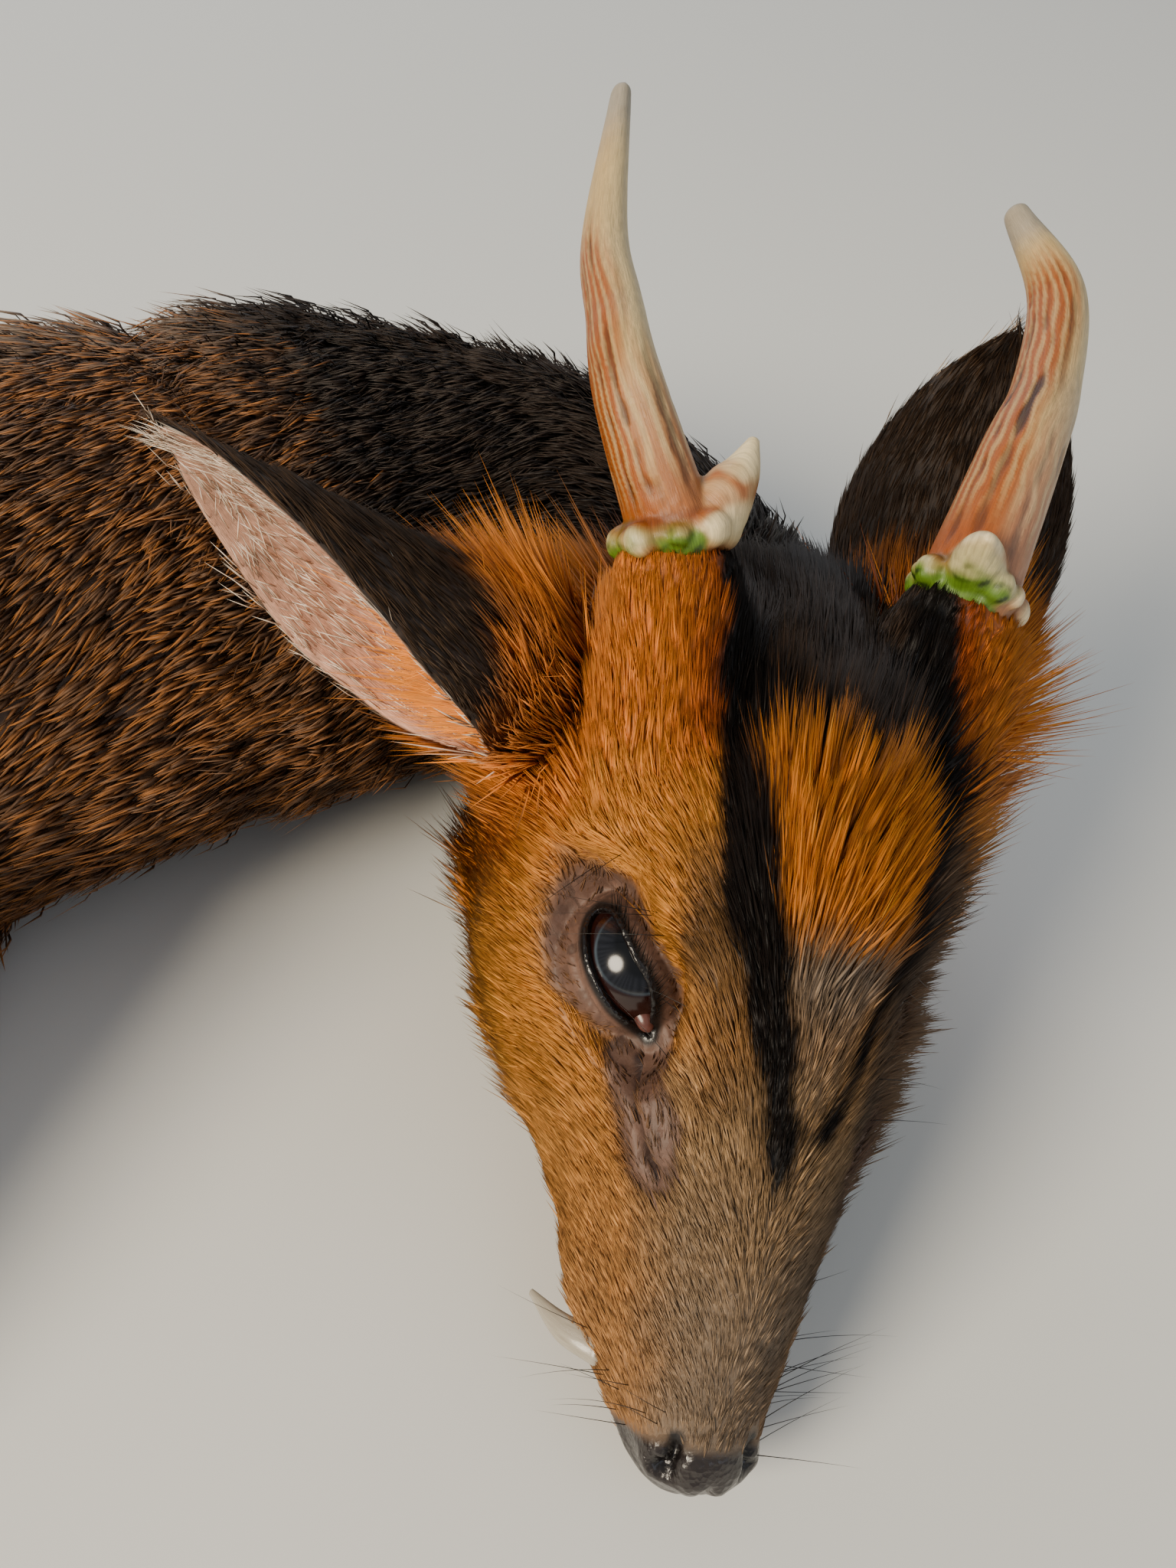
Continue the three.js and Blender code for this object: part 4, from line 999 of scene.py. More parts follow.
# The two shapes of tuft: corners of each triangle, and how light each point of it is between root and tip.
tuftShapes = {
    True: {"faces": [(0, 1, 3), (0, 3, 2), (0, 2, 1), (1, 4, 3), (3, 4, 2), (2, 4, 1)],
           "light": (0, 0.2, 0.2, 0.3, 1),
           "patch": [(0, 0), (0.0012, 0.001), (0.0018, 0.001), (0.0015, 0.0014), (0.0015, 0.003)]},
    False: {"faces": [(0, 2, 1), (0, 1, 3), (1, 2, 3), (2, 0, 3)], "light": (0.2, 0.2, 0.3, 1),
            "patch": [(0, 0), (0.001, 0), (0.0005, 0.0005), (0.0005, 0.003)]},
}


# Tufts: each a closed sliver. A straight one is a three-cornered base and a point; a bent one has a buried root,
# a three-cornered middle and a point, where middle = root + L * 0.55 * first, tip = middle + L * 0.45 * second.
def tuftPoints(at, normal, flow, length, width, lift, bent):
    side = np.cross(normal, flow)
    lift = np.radians(lift)[:, None]
    first = flow * np.cos(lift) + normal * np.sin(lift)
    second = flow * np.cos(lift * 0.35) + normal * np.sin(lift * 0.35)
    length, width = length[:, None], width[:, None]
    if bent:
        root = at - normal * 0.8
        middle = root + first * length * 0.55
        points = [root, middle - side * width / 2, middle + side * width / 2, middle + normal * width * 0.4,
                  middle + second * length * 0.45]
    else:
        root = at - normal * 0.25
        points = [root - side * width / 2, root + side * width / 2, root + first * 0.6 + normal * width * 0.5,
                  root + unit(first + second) * length]
    return np.stack(points, 1)


# Draws each tuft's tip towards the tip of the nearest of the tufts that lead a lock.
def drawTogether(tufts, pull, every=11):
    leaders = np.arange(0, len(tufts), every)
    tree = KDTree(len(leaders))
    for k, spot in enumerate(tufts[leaders, 0]):
        tree.insert(spot, k)
    tree.balance()
    nearest = leaders[[tree.find(spot)[1] for spot in tufts[:, 0]]]
    tufts[:, -1] += pull[:, None] * (tufts[nearest, -1] - tufts[:, -1])


def tuftMesh(name, tufts, colours, uv, bent):
    shape = tuftShapes[bent]
    corner = tufts.shape[1]
    faces = (np.arange(len(tufts))[:, None, None] * corner + np.array(shape["faces"])).reshape(-1, 3)
    mesh = bpy.data.meshes.new(name)
    mesh.vertices.add(len(tufts) * corner)
    mesh.vertices.foreach_set("co", (tufts * 0.001).astype(np.float32).ravel())
    mesh.loops.add(len(faces) * 3)
    mesh.loops.foreach_set("vertex_index", faces.astype(np.int32).ravel())
    mesh.polygons.add(len(faces))
    mesh.polygons.foreach_set("loop_start", np.arange(len(faces), dtype=np.int32) * 3)
    mesh.update()
    mesh.shade_smooth()
    rootColour, tipColour, shade = colours
    light = np.array(shape["light"])[None, :, None]
    each = (rootColour[:, None] * (1 - light) + tipColour[:, None] * light) * shade[:, None, None]
    keepColours(mesh, "hair", np.clip(each, 0, 1).reshape(-1, 3))
    spots = (uv[:, None] + np.array(shape["patch"])).reshape(-1, 2)
    layer = mesh.uv_layers.new(name="OFBake")
    layer.data.foreach_set("uv", spots[faces.ravel()].astype(np.float32).ravel())
    return addObject(name, mesh)


# Hair is shorter on the muzzle and round the eyes, and long and rough on the brow patch, the edge of the cheek,
# the far side of the face and the nape.
def adjustHair(region, head, at, length, width, lift):
    x, y, z = head.T
    factor, raised = np.ones(len(x)), np.zeros(len(x))
    if region == "head":
        factor = np.interp(x, [-60, -30, 20, 50, 80, 92], [1.7, 1.25, 0.95, 0.75, 0.5, 0.4])
        factor *= 0.45 + 0.55 * smoothstep(5, 17, eyeAwayAt(head))
        throat = smoothstep(-36, -56, z) * smoothstep(50, 25, x)
        patch = smoothstep(8, 22, z) * smoothstep(17, 11, np.abs(y - 1)) * smoothstep(26, 10, x)
        patch *= smoothstep(-34, -24, x)
        far = smoothstep(14, 24, y) * smoothstep(70, 35, x) * smoothstep(-50, -30, x)
        factor *= 1 + 1.7 * throat + 1.1 * patch + 0.9 * far
        raised = 0.7 * patch + 0.7 * throat + 1.2 * far
        lift = lift * np.interp(x, [30, 70], [1, 0.65])
    if region == "stalk":
        raised = smoothstep(30, 42, y)
        factor = 1 + 0.7 * raised
        factor *= 0.4 + 0.6 * smoothstep(13, 22, toNearer(head, antlerPlans, "burr"))
    if region in ("earBack", "head"):
        byEar = 1.3 * smoothstep(38, 20, toNearer(head, earPlans, "base"))
        raised = raised + byEar
        factor = factor * (1 + byEar)
    if region in ("neck", "trunk"):
        bodyX, bodyY, _ = worldToBody(at).T
        rough = smoothstep(-90, -20, bodyX) * smoothstep(20, 70, bodyY)
        factor = 1 + 0.7 * rough
        raised = 0.6 * rough
    return length * factor, width * np.sqrt(factor), lift * (1 + raised)


# Grows one coat: roots at random over its region by area and fullness, each with the skin's direction there.
def growCoat(region, settings, material):
    weight = areas * rootRegion[:, regions.index(region)] * fullness[triangles].mean(1)
    steps = np.cumsum(weight)
    picked = np.searchsorted(steps, rng.random(settings["count"]) * steps[-1])
    a, b = rng.random((2, len(picked)))
    flip = a + b > 1
    a, b = np.where(flip, 1 - a, a), np.where(flip, 1 - b, b)
    mix = np.stack([1 - a - b, a, b], -1)[..., None]
    corner = triangles[picked]
    at, normal, lie = ((values[corner] * mix).sum(1) for values in (points, normals, flow))
    normal = unit(normal)
    place = worldToHead(at)
    sway = np.stack([wobble(at, settings["length"] * 3.2, 20 + k) for k in range(3)], -1)
    lie = lie + settings["stray"] * (sway * 0.8 + rng.normal(size=sway.shape) * 0.5)
    lie = alongSkin(lie, normal)
    length = settings["length"] * np.exp(rng.normal(0, 0.2, len(at))) * (1 + 0.2 * wobble(at, 12, 31))
    width = settings["width"] * np.exp(rng.normal(0, 0.2, len(at)))
    lift = settings["lift"] * np.exp(rng.normal(0, 0.25, len(at))) * (1 + 0.3 * wobble(at, 18, 33))
    length, width, lift = adjustHair(region, place, at, length, width, lift)
    bare = (bareHere[corner] * mix[..., 0]).sum(1)
    length, width = length * (1 - 0.3 * bare), width * (1 - 0.35 * bare)
    tufts = tuftPoints(at, normal, lie, length, width, np.clip(lift, 3, 75), settings["bent"])
    if settings["lock"]:
        crest = np.linalg.norm(place * [0.8, 1, 0.3] - [-5, 2, 11], axis=1)
        patch = (region == "head") * 0.35 * smoothstep(14, 5, crest)
        drawTogether(tufts, settings["lock"] * (1 + 0.5 * wobble(at, 25, 41)) + patch)
    tufts[:, :, 2] = np.maximum(tufts[:, :, 2], 0.15)
    root, tip, ticked = markings(at, place, normal, (regionShare[corner] * mix).sum(1))
    root, tip = over(root, linear["sparse"], 0.85 * bare), over(tip, linear["sparseTip"], 0.85 * bare)
    banded = rng.random(len(at)) < ticked * (0.5 + 0.25 * wobble(at, 30, 37))
    tip = over(tip, linear["tick"], banded * rng.uniform(0.5, 1, len(at)))
    shade = np.exp(rng.normal(0, 0.2, len(at))) * (1 + 0.14 * wobble(at, 9, 35))
    pieces = -(-len(at) * len(tuftShapes[settings["bent"]]["faces"]) // biggestPiece)
    for number, chosen in enumerate(np.array_split(np.arange(len(at)), pieces)):
        name = f"{region}Coat" + (str(number + 1) if pieces > 1 else "")
        piece = tuftMesh(name, tufts[chosen], (root[chosen], tip[chosen], shade[chosen]),
                         unwrapped[corner[chosen, 0]], settings["bent"])
        finish(piece, material, "coat")


# Over the flank the hair leans down to the belly as well as back.
down = bodyToWorld([[0, -1, 0]]) - bodyToWorld([[0, 0, 0]])
leaning = regionShare[:, [regions.index(name) for name in ("neck", "trunk", "upper")]].sum(1)
leaning *= smoothstep(70, 5, worldToBody(points)[:, 1])
flow = alongSkin(flow + 0.75 * leaning[:, None] * down, normals)

# Deer hair: solid slivers of keratin, darker at the root than at the tip, with a soft sheen like damp hair's.
deerHair = paintedMaterial("deer hair", "hair", {"Roughness": 0.5, "Specular IOR Level": 0.22})
for region, row in coats.items():
    growCoat(region, dict(zip(coatKeys, row)), deerHair)
print("coat grown")


# Deer skin, or leather: between the tufts it carries a nap of the finest hair, drawn as streaks along the lie
# from the unwrap's own places; the nose is pebbled and wet, and the bare skin by the eyes is finely creased.
def skinMaterial():
    material, tree, shader = newMaterial("deer skin")
    colour, places, wet = (addNode(tree, "ShaderNodeAttribute", attribute_name=name)
                           for name in ("skinColour", "napPlace", "wet"))
    spot = addNode(tree, "ShaderNodeTexCoord").outputs["Object"]
    nap = addNode(tree, "ShaderNodeTexNoise", {"Vector": places.outputs["Vector"], "Scale": 1.0, "Detail": 3.0})
    streak = addNode(tree, "ShaderNodeMapRange", {"Value": nap.outputs["Fac"], "From Min": 0.3, "From Max": 0.7,
                                                  "To Min": 0.55, "To Max": 1.45})
    plain = addNode(tree, "ShaderNodeMix", {"Factor": wet.outputs["Fac"], "A": streak.outputs["Result"], "B": 1.0},
                    data_type="FLOAT")
    tinted = addNode(tree, "ShaderNodeVectorMath", {0: colour.outputs["Color"], "Scale": plain.outputs["Result"]},
                     operation="SCALE")
    gloss = addNode(tree, "ShaderNodeMapRange", {"Value": wet.outputs["Fac"], "To Min": 0.6, "To Max": 0.22})
    pebbles = addNode(tree, "ShaderNodeTexVoronoi", {"Vector": spot, "Scale": 900.0})
    creased = addNode(tree, "ShaderNodeTexNoise", {"Vector": spot, "Scale": 700.0, "Detail": 4.0})
    rise = addNode(tree, "ShaderNodeMix", {"Factor": wet.outputs["Fac"], "A": nap.outputs["Fac"],
                                           "B": pebbles.outputs["Distance"]}, data_type="FLOAT")
    both = addNode(tree, "ShaderNodeMath", {0: rise.outputs["Result"], 1: creased.outputs["Fac"]}, operation="ADD")
    bump = addNode(tree, "ShaderNodeBump", {"Strength": 0.6, "Distance": 0.0003, "Height": both.outputs["Value"]})
    wire(tree, shader, {"Base Color": tinted.outputs["Vector"], "Roughness": gloss.outputs["Result"],
                        "Normal": bump.outputs["Normal"]})
    return material


rootColour, tipColour, _ = markings(points, head, normals, regionShare)
skinColour = (rootColour * 0.6 + tipColour * 0.4) * 0.8
for name, mask in (
    ("bare", bareHere),
    ("slit", smoothstep(1.6, 0.5, slitAway)),
    ("lip", 0.7 * smoothstep(3.5, 2, lipsAway) * (head[:, 0] > 42)),
    ("nose", noseBare),
    ("wet", np.maximum(smoothstep(2.4, 1, eyeAway), smoothstep(2.2, 1, nostrilAway))),
    ("earSkin", regionShare[:, regions.index("earInside")]),
):
    skinColour = over(skinColour, linear[name], mask)
keepColours(skinMesh, "skinColour", skinColour)
napScale = (300, 5500)  # features along and across the whole unwrap
keepVectors(skinMesh, "napPlace", spread(unwrapped[:, 0] * napScale[0], unwrapped[:, 1] * napScale[1], 0))
keepNumbers(skinMesh, "wet", np.maximum(noseBare, smoothstep(1.5, 0.4, eyeAway)))
flesh = [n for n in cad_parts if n.endswith(("_upper", "_middle", "_lower"))]
finish(addObject("skin", skinMesh), skinMaterial(), "coat",
       "head", "jaw", "nose_pad", "neck", "torso", "tail", "ear_r", "ear_l", *flesh)
print("skin coloured")


# Antlers: beam, tine, burr and its pearls as one bone, in millimetres, with how many pearls and furrows it has.
antlerShape = {"burr": 11.8, "pearls": 15, "pearl": 2.7, "cube": 0.5, "groove": 0.32, "furrows": 9, "stations": 90}
bone = linearTones({
    "ivory": "#c2a56e", "cream": "#e3d0a2", "stain": "#964a06", "dark": "#2a1305", "tip": "#9a9488",
    "algae": "#56761a", "moss": "#26380c", "soil": "#1c140d", "blush": "#a88a78",
})


# Points of a curve through stations, and the directions up and across round it.
def readCurve(stations, count):
    table = np.column_stack([np.linspace(0, 1, len(stations)), stations])
    centre = readRows(table, np.linspace(0, 1, count))[:, :3]
    along = unit(np.gradient(centre, axis=0))
    up = unit(np.array([0.3, 0, 1]) - (along @ [0.3, 0, 1])[:, None] * along)
    return centre, up, np.cross(along, up)


# One antler in the head's frame. Furrows run along it, pressed in by groove * (the peaks of sines round it that
# drift along it); stains fill them and one side, the tip is greyer, and algae grows on the burr.
def growAntler(side, plan, material):
    burrAt, axis = plan["burr"], burrAxis(plan)
    beamRows = [(*spot, r * plan["flat"], r, r, 0.3, 0, 1)
                for spot, r in zip([burrAt - axis * 2, *plan["beam"]], (10.4, 8.6, 7.2, 6, 2.8))]
    tineRows = [(*spot, r, r, r, 0.2, 0, 1) for spot, r in zip(plan["tine"], (6, 4.9, 3.4, 1.2))]
    across = unit(np.cross(axis, [0, 0, 1]))
    other = np.cross(axis, across)
    ring = antlerShape["burr"] - 1.6
    ends = [(*(burrAt + axis * k), r, r, r, *across) for k, r in ((-2.8, ring - 1.2), (0, ring), (2.6, ring - 1))]
    parts = [tubeGrid(beamRows, 60, 48, power=2, blunt=0.8), tubeGrid(tineRows, 30, 32, power=2, blunt=0.8),
             tubeGrid(ends, 6, 48, power=2, blunt=0.15)]
    for i in range(antlerShape["pearls"]):
        angle = i / antlerShape["pearls"] * 2 * np.pi + 0.3 * np.sin(i * 1.9)
        size = antlerShape["pearl"] * (1 + 0.3 * np.sin(i * 2.4))
        at = burrAt + (across * np.cos(angle) + other * np.sin(angle)) * (ring - 0.6)
        parts.append(ballGrid(at + axis * (0.6 * np.sin(i * 3.1)), (size, size, size), rows=14, columns=18))
    mesh = fuse(parts, antlerShape["cube"])
    mesh.shade_smooth()
    relax(mesh, np.full(len(mesh.vertices), 0.5), 2)
    spots, facing = meshPoints(mesh), meshNormals(mesh)
    centre, up, wide = readCurve(np.array([row[:3] for row in beamRows]), antlerShape["stations"])
    nearest = np.array([((centre - p) ** 2).sum(1).argmin() for p in spots])
    t = nearest / (antlerShape["stations"] - 1)
    arm = spots - centre[nearest]
    angle = np.arctan2((arm * wide[nearest]).sum(1), (arm * up[nearest]).sum(1))
    tine, _ = toLine(spots, [row[:3] for row in tineRows])
    rise = (spots - burrAt) @ axis
    onTine = smoothstep(6.5, 4.5, tine) * smoothstep(2, 5, rise)
    beamOnly = smoothstep(3, 9, rise)
    drift = t * 5 + wobble(spots, 30, 61) * 0.5
    lit = np.cos(angle - plan["lightSide"])
    patchy = wobble(spots, 26, 65)
    stain = smoothstep(0.7, -0.1, lit + 0.3 * patchy) * smoothstep(0.95, 0.65, t + 0.1 * patchy)
    stain = np.maximum(stain, 0.9 * smoothstep(0.42, 0.08, t))
    waves = np.sin(angle * antlerShape["furrows"] + drift) + 0.8 * np.sin(angle * 14 - drift * 1.6 + 1)
    waves += 0.9 * wobble(spots * [0.35, 1, 1], 5, 73)
    furrow = smoothstep(0.4, 1.5, waves) * smoothstep(1, 0.75, t) * beamOnly * (1 - onTine) * (0.25 + 0.75 * stain)
    rough = wobble(spots, 2.6, 63)
    pressed = antlerShape["groove"] * furrow + 0.12 * (1 - beamOnly) * (1 - onTine) * rough
    spots = spots - facing * pressed[:, None]
    rise = (spots - burrAt) @ axis
    streak = 0.5 + 0.5 * np.sin(angle * 21 + drift * 2 + 1.5 * wobble(spots * [0.3, 1, 1], 6, 75))
    seeped = 0.35 + 0.62 * smoothstep(0.1, 0.6, streak)
    seeped = np.maximum(seeped, smoothstep(0.22, 0.02, t + 0.08 * patchy)) * smoothstep(0.5, 3, rise)
    out = np.linalg.norm(spots - plan["tine"][0], axis=1) + wobble(spots, 4, 77)
    burrPart = 1 - smoothstep(2.5, 4.5, rise)
    outward = np.linalg.norm(spots - burrAt - rise[:, None] * axis, axis=1)
    damp = plan["green"] * ((spots - burrAt) @ unit(plan["greenSide"])) / 8
    green = smoothstep(-0.2, 0.5, wobble(spots, 9, 67) + damp)
    low = smoothstep(1.5, -1.5, rise + wobble(spots, 5, 69))
    colour = np.repeat(bone["ivory"][None], len(spots), 0)
    for name, mask in (
        ("cream", 0.6 * smoothstep(0.2, 1, lit)),
        ("stain", seeped * stain * (1 - onTine)),
        ("dark", furrow * smoothstep(0.9, 0.6, t) * (0.55 + 0.4 * smoothstep(-0.3, 0.6, patchy))),
        ("blush", 0.3 * plan["blush"] * smoothstep(0.35, 0.2, np.abs(t - 0.2)) * smoothstep(0, 0.6, lit)),
        ("tip", smoothstep(0.86, 0.97, t + 0.03 * patchy) * 0.8),
        ("stain", onTine * smoothstep(13, 9, out) * (0.55 + 0.4 * streak)),
        ("cream", onTine * smoothstep(9.5, 13, out)),
        ("soil", burrPart * smoothstep(ring + 0.6, ring - 1.2, outward)),
        ("stain", burrPart * smoothstep(ring + 1.9, ring - 0.4, outward) * 0.6),
        ("cream", burrPart * smoothstep(ring + 1, ring + 2.2, outward) * 0.8),
        ("algae", burrPart * green * (0.3 + 0.7 * low)),
        ("moss", burrPart * green * low * smoothstep(0, 0.8, wobble(spots, 3, 71))),
    ):
        colour = over(colour, bone[name], mask)
    setPoints(mesh, headToWorld(spots))
    keepColours(mesh, "boneColour", np.clip(colour * (1 + 0.05 * rough[:, None]), 0, 1))
    keepVectors(mesh, "grainPlace", spread(angle * 8, t * 9, 0))
    finish(addObject("antler" + side.upper(), mesh), material, "antler",
           "burr_" + side, "beam_" + side, "brow_tine_" + side)


# Antler: bare dead bone, rubbed smooth on the ridges, with a grain of fine cracks and pits along it.
def antlerMaterial():
    material, tree, shader = newMaterial("antler bone")
    colour = addNode(tree, "ShaderNodeAttribute", attribute_name="boneColour")
    place = addNode(tree, "ShaderNodeAttribute", attribute_name="grainPlace")
    grain = addNode(tree, "ShaderNodeTexNoise", {"Vector": place.outputs["Vector"], "Scale": 3.0, "Detail": 6.0,
                                                 "Roughness": 0.65})
    shade = addNode(tree, "ShaderNodeMapRange", {"Value": grain.outputs["Fac"], "From Min": 0.35, "From Max": 0.65,
                                                 "To Min": 0.72, "To Max": 1.12})
    tinted = addNode(tree, "ShaderNodeVectorMath", {0: colour.outputs["Color"], "Scale": shade.outputs["Result"]},
                     operation="SCALE")
    bump = addNode(tree, "ShaderNodeBump", {"Strength": 0.5, "Distance": 0.0004, "Height": grain.outputs["Fac"]})
    wire(tree, shader, {"Base Color": tinted.outputs["Vector"], "Normal": bump.outputs["Normal"],
                        "Roughness": 0.4})
    return material


antlerBone = antlerMaterial()
for side, plan in antlerPlans.items():
    growAntler(side, plan, antlerBone)
print("antlers made")

# The eyes: iris, ring and white of each as colours of one ball, rings of points about the middle of the iris.
irisSettings = {"towards": (0.5, 4.6, 12.4), "radius": 7.9, "pupil": (5.6, 4.2), "bulge": 0.4}
eyeTones = linearTones({"pupil": "#020306", "iris": "#0a0c12", "streak": "#191b22", "limbus": "#55636f",
                        "sclera": "#1d0906", "pale": "#3d2119"})


# A ball of rings: point = R * (sin a cos b, sin a sin b, cos a) about the iris's axis, a little longer inside it.
def makeEye(side, name, material):
    forward = unit(np.array(irisSettings["towards"]))
    across = unit(np.cross([0, 1, 0], forward))
    upward = np.cross(forward, across)
    edge = np.arcsin(irisSettings["radius"] / eyeSpot["radius"])
    a = np.concatenate([np.linspace(0.002, edge * 1.2, 60), np.linspace(edge * 1.2, np.pi - 0.002, 41)[1:]])
    b = np.arange(160) / 160 * 2 * np.pi
    reach = (eyeSpot["radius"] + irisSettings["bulge"] * np.clip(1 - (a / edge) ** 2, 0, 1))[:, None]
    girth = reach * np.sin(a)[:, None]
    local = spread(girth * np.cos(b), girth * np.sin(b), reach * np.cos(a)[:, None])
    x, y, z = local.T[..., None]
    spots = fromEye(x * across + y * upward + z * forward, side)
    eye = addMesh(name, headToWorld(spots), gridFaces(len(a), len(b)))
    share, turned = np.repeat(a / edge, len(b)), np.tile(b, len(a))
    pupil = smoothstep(1.1, 0.9, np.linalg.norm(local[:, :2] / irisSettings["pupil"], axis=1))
    streaks = (0.5 + 0.5 * np.sin(turned * 46 + 3 * np.sin(turned * 7))) * smoothstep(0.45, 0.8, share)
    limbus = bell(share, 1, 0.035, 1) * (0.6 + 0.4 * np.sin(turned * 3 + 1)) * 0.55
    white = over(eyeTones["sclera"], eyeTones["pale"], smoothstep(1.1, 1.5, share) * 0.25)
    colour = over(eyeTones["iris"], eyeTones["streak"], streaks)
    for other, mask in ((eyeTones["pupil"], pupil), (white, smoothstep(0.99, 1.05, share)),
                        (eyeTones["limbus"], limbus)):
        colour = over(colour, other, mask)
    keepColours(eye.data, "eyeColour", colour)
    finish(eye, material, "eye", "eye_r" if side < 0 else "eye_l")


# Wet eye: one smooth glossy surface, so that the pupil, the iris and the pale ring lie under a clear highlight.
wetEye = paintedMaterial("wet eye", "eyeColour", {"Roughness": 0.14})
for side, name in ((1, "eyeL"), (-1, "eyeR")):
    makeEye(side, name, wetEye)


# A plain material of one colour with a wash of another by fine noise, and a bump of the same noise.
def hardMaterial(name, colour, wash, scale, roughness, bump, stretch=(1, 1, 1)):
    material, tree, shader = newMaterial(name)
    place = addNode(tree, "ShaderNodeAttribute", attribute_name="grainPlace")
    mapped = addNode(tree, "ShaderNodeMapping", {"Vector": place.outputs["Vector"], "Scale": stretch})
    grain = addNode(tree, "ShaderNodeTexNoise", {"Vector": mapped.outputs["Vector"], "Scale": scale,
                                                 "Detail": 5.0})
    mix = addNode(tree, "ShaderNodeMix", {"Factor": grain.outputs["Fac"], "A": srgb(colour), "B": srgb(wash)},
                  data_type="RGBA")
    lift = addNode(tree, "ShaderNodeBump", {"Strength": 0.5, "Distance": bump, "Height": grain.outputs["Fac"]})
    wire(tree, shader, {"Base Color": mix.outputs["Result"], "Normal": lift.outputs["Normal"],
                        "Roughness": roughness})
    return material


# Tusk enamel: ivory, faintly lined along its length, greyer towards the root, smooth and wet.
tuskEnamel = hardMaterial("tusk enamel", "#b9b2a2", "#857c6e", 1.0, 0.22, 0.0001, stretch=(2, 0.4, 1))
tuskRows = [((67, 16.5, -37), 2.6), ((63, 22.5, -42), 2.1), ((56.5, 26.5, -50), 0.6)]
for side, letter in ((-1, "r"), (1, "l")):
    rows = [(x, side * y, z, r * 0.7, r * 1.2, r * 1.2, 1, 0, 0) for (x, y, z), r in tuskRows]
    tuskPoints, tuskFaces, _, uv = tubeGrid(rows, 40, 28, power=2, blunt=0.9)
    tusk = addMesh("tusk" + letter.upper(), aboveFloor(headToWorld(tuskPoints)), tuskFaces)
    keepVectors(tusk.data, "grainPlace", spread(uv[:, 1] * 12, uv[:, 0] * 10, 0))
    finish(tusk, tuskEnamel, "tusk", "tusk_" + letter)

# Hoof horn: near black, ringed across by growth and a little worn, duller than the eye and smoother than bone.
hoofHorn = hardMaterial("hoof horn", "#1c1613", "#4a3c32", 1.0, 0.38, 0.0004, stretch=(0.6, 3.5, 1))
hoofShape = {"length": 31, "halfWidth": 5.3, "height": 15, "split": 1}
clawShape = {"behind": 9, "out": 6, "forward": 7, "root": 3.4, "tip": 1.7}


# Two hooves, one above the other as the leg lies on its side, and two dewclaws behind the fetlock.
def makeFoot(name, plan):
    fetlock, ankle = (np.array(row[:3], float) for row in plan["lower"][-2:])
    heel = np.array([*ankle[:2], 0])
    along = unit(np.array([*plan["toe"], 0]) - heel)
    front = np.cross(along, [0, 0, 1])
    w, h, reach = hoofShape["halfWidth"], hoofShape["height"], hoofShape["length"]
    parts = []
    for level in (-1, 1):
        z, drop = 2 * w + level * (w + hoofShape["split"] / 2), level * 1.5
        sole = ((-2, 0, (w - 0.8, h * 0.42, h * 0.5)), (reach * 0.35, drop * 0.3, (w, h * 0.44, h * 0.56)),
                (reach * 0.75, drop * 0.7, (w * 0.8, h * 0.22, h * 0.5)),
                (reach, drop, (w * 0.3, h * 0.06, h * 0.34)))
        rows = [(*(heel + along * distance + [0, 0, z + rise]), *half, *front) for distance, rise, half in sole]
        root = np.array([*fetlock[:2], z]) - front * clawShape["behind"]
        tip = root - front * clawShape["out"] + along * clawShape["forward"]
        ends = [(*spot, r, r, r, 0, 0, 1) for spot, r in ((root, clawShape["root"]), (tip, clawShape["tip"]))]
        parts += [tubeGrid(rows, 36, 36, blunt=0.25), tubeGrid(ends, 10, 20, power=2, blunt=0.6)]
    spots, faces = joined(parts)
    foot = addMesh(name, aboveFloor(bodyToWorld(spots)), faces)
    uv = np.vstack([part[3] for part in parts])
    keepVectors(foot.data, "grainPlace", spread(uv[:, 1] * 20, uv[:, 0] * 9, 0))
    return foot


for leg, plan in legs.items():
    front, side = leg.split("_")
    foot = makeFoot(front + side.capitalize() + "Hooves", plan)
    horns = [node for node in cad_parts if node.startswith((leg + "_hoof", leg + "_dewclaw"))]
    finish(foot, hoofHorn, "hoof", *horns)
print("eyes, tusks and hooves made")

# The third eyelid: a pale wet skin showing at the front corner of the opening.
wetSkin = hardMaterial("wet inner lid", "#3a1c18", "#6e463e", 0.6, 0.25, 0.0001)
for side, letter in ((-1, "R"), (1, "L")):
    spots, faces = ballGrid((10.4, -1.6, 6.6), (3.4, 1.9, 1.5))
    lid = addMesh("innerLid" + letter, headToWorld(fromEye(spots, side)), faces)
    keepVectors(lid.data, "grainPlace", spots)
    finish(lid, wetSkin, "eye")

# Single long hairs: lashes on the lids and feelers on the lips and round the eyes.
feelers = {"lashes": 52, "lashLength": 7.5, "lashWidth": 0.24, "lips": 13, "lipLength": 22, "brows": 9,
           "browLength": 20, "width": 0.2}


# Long hairs as thin bent slivers, each of six rings of three points: ring = root + L * (t * first + t^2 * droop).
def longHairs(roots, first, droop, length, width):
    rings, corners = 6, 3
    t = np.linspace(0, 1, rings)[None, :, None]
    first, droop = unit(first)[:, None], droop[:, None]
    centre = roots[:, None] + length[:, None, None] * (t * first + t ** 2 * droop)
    thick = width * (1.02 - t) / 2
    side = unit(np.cross(first, [0.31, 0.2, 0.93]))
    other = np.cross(first, side)
    spots = np.stack([centre + side * thick, centre - side * thick * 0.5 + other * thick * 0.87,
                      centre - side * thick * 0.5 - other * thick * 0.87], 2)
    quads = gridFaces(rings, corners)
    ends = np.array([(0, 2, 1), (15, 16, 17)])
    hair = np.vstack([ends, quads[:, :3], quads[:, [0, 2, 3]]])
    faces = (np.arange(len(roots))[:, None, None] * rings * corners + hair).reshape(-1, 3)
    return spots.reshape(-1, 3), faces


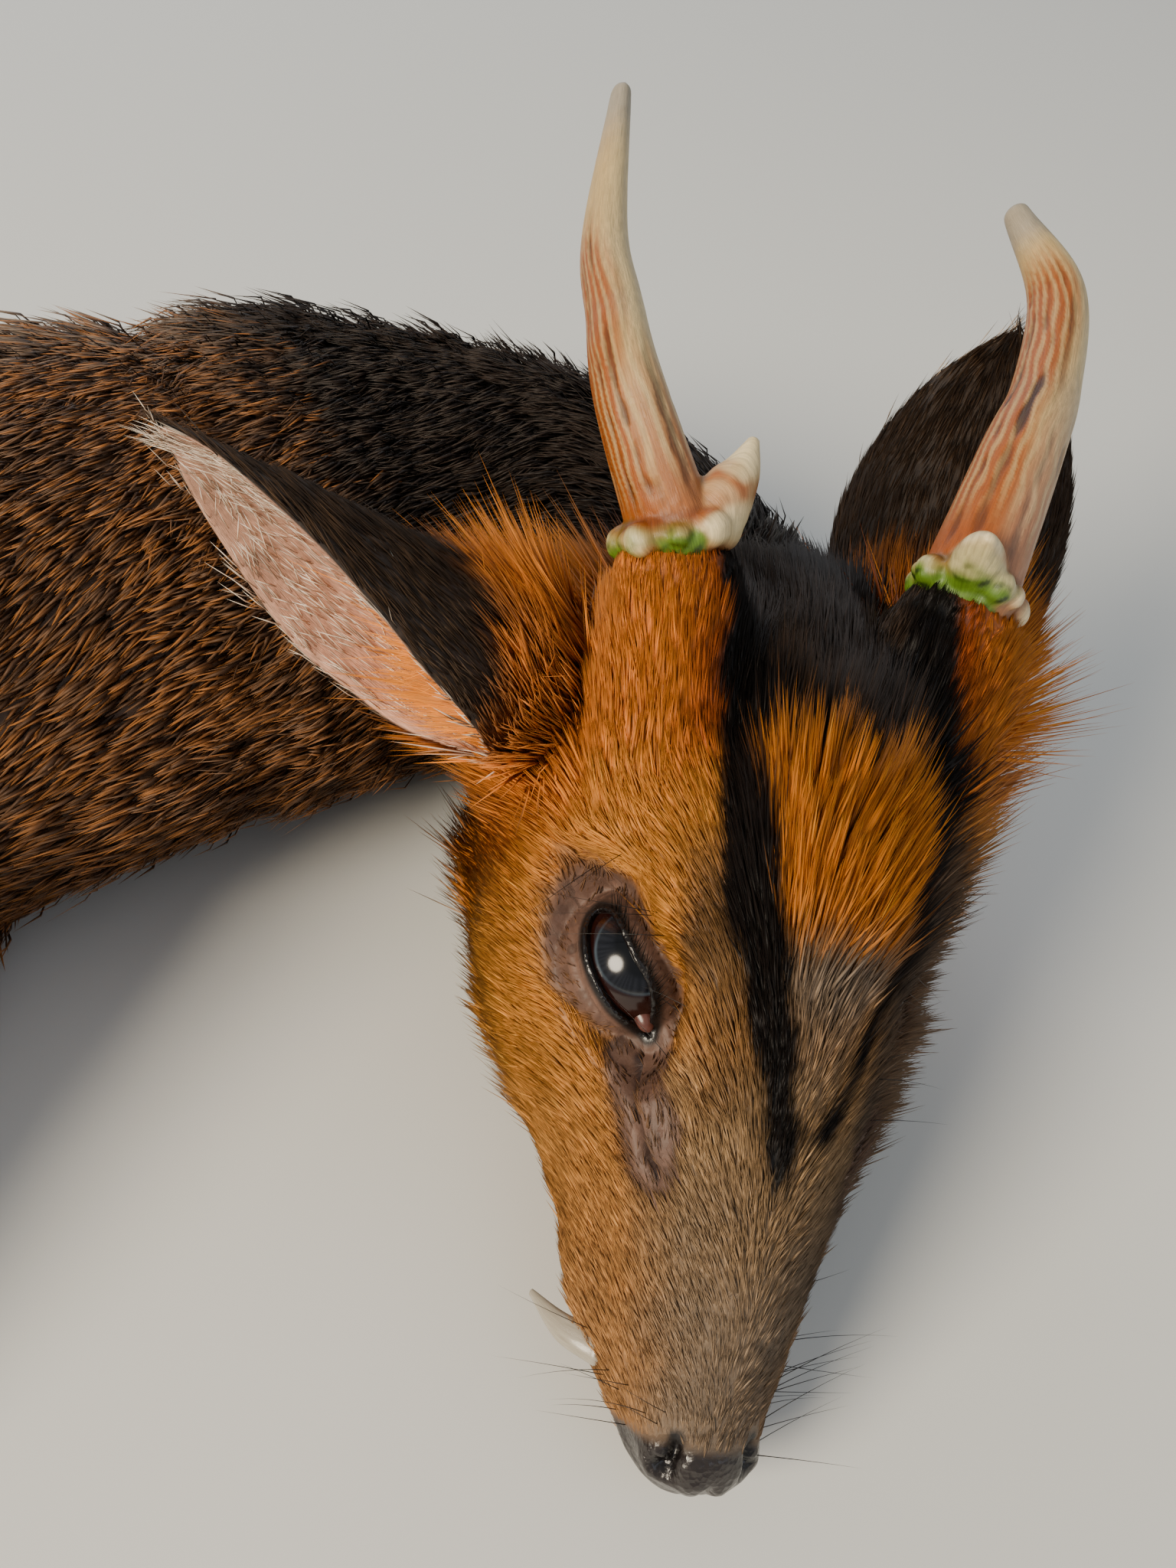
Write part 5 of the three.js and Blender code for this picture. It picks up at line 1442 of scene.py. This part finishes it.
def lashRoots(side):
    a = np.linspace(-8.5, 12, feelers["lashes"])
    low, high = readRows(openingRows, a).T
    dice = rng.random((3, len(a)))
    up = high + 0.7 + dice[0] * 0.8
    radius = eyeSpot["radius"] + lidSettings["thick"]
    out = np.sqrt(radius ** 2 - a ** 2 - up ** 2)
    lean = np.stack([-0.25 + 0.3 * (a - 2) / 10 + 0.2 * dice[1], 0.35 + 0.3 * dice[2], np.full(len(a), 0.8)], -1)
    return np.stack([a, up, out], -1), lean


# Black feeler hair: thick and smooth, so each catches a thin line of light.
blackHair, _, _ = newMaterial("black feeler hair", {"Base Color": srgb("#0b0908"), "Roughness": 0.35})
shaped = []
for side in (-1, 1):
    roots, lean = lashRoots(side)
    spot = headToWorld(fromEye(roots, side))
    away = headToWorld(fromEye(roots + lean, side)) - spot
    size = feelers["lashLength"] * (0.6 + 0.6 * rng.random(len(roots)))
    shaped.append(longHairs(spot, away, away * 0.05 + [0, 0, 0.1], size, feelers["lashWidth"]))
x, y, z = head.T
onLips = (x > 55) & (x < 84) & (z < -20) & (z > -36) & (np.abs(y) > 8) & (regionShare[:, 0] > 0.9)
onBrows = (eyeAway > 7) & (eyeAway < 12) & (z > 2)
for places, count, size in ((onLips, "lips", "lipLength"), (onBrows, "brows", "browLength")):
    chosen = rng.choice(np.nonzero(places)[0], feelers[count] * 2, replace=False)
    lean = normals[chosen] * 0.8 + flow[chosen] * 0.5 + rng.normal(0, 0.15, (len(chosen), 3))
    lengths = feelers[size] * (0.5 + 0.7 * rng.random(len(chosen)))
    droop = [0, 0, -0.12] + rng.normal(0, 0.05, (len(chosen), 3))
    shaped.append(longHairs(points[chosen], lean, droop, lengths, feelers["width"]))
spots, faces = joined(shaped)
finish(addMesh("feelers", aboveFloor(spots, 0.2), faces), blackHair, "coat")
print("lashes and feelers made")


# The plain pale floor, so many metres wide: matt paper.
def layFloor(size, colour):
    corner = size * 1000 / 2
    points = [(-corner, -corner, 0), (corner, -corner, 0), (corner, corner, 0), (-corner, corner, 0)]
    floor = addMesh("floor", points, [(0, 1, 2, 3)], smooth=False)
    material, _, _ = newMaterial("matt paper", {"Base Color": srgb(colour), "Roughness": 0.9})
    floor.data.materials.append(material)


layFloor(60, "#d9dad6")
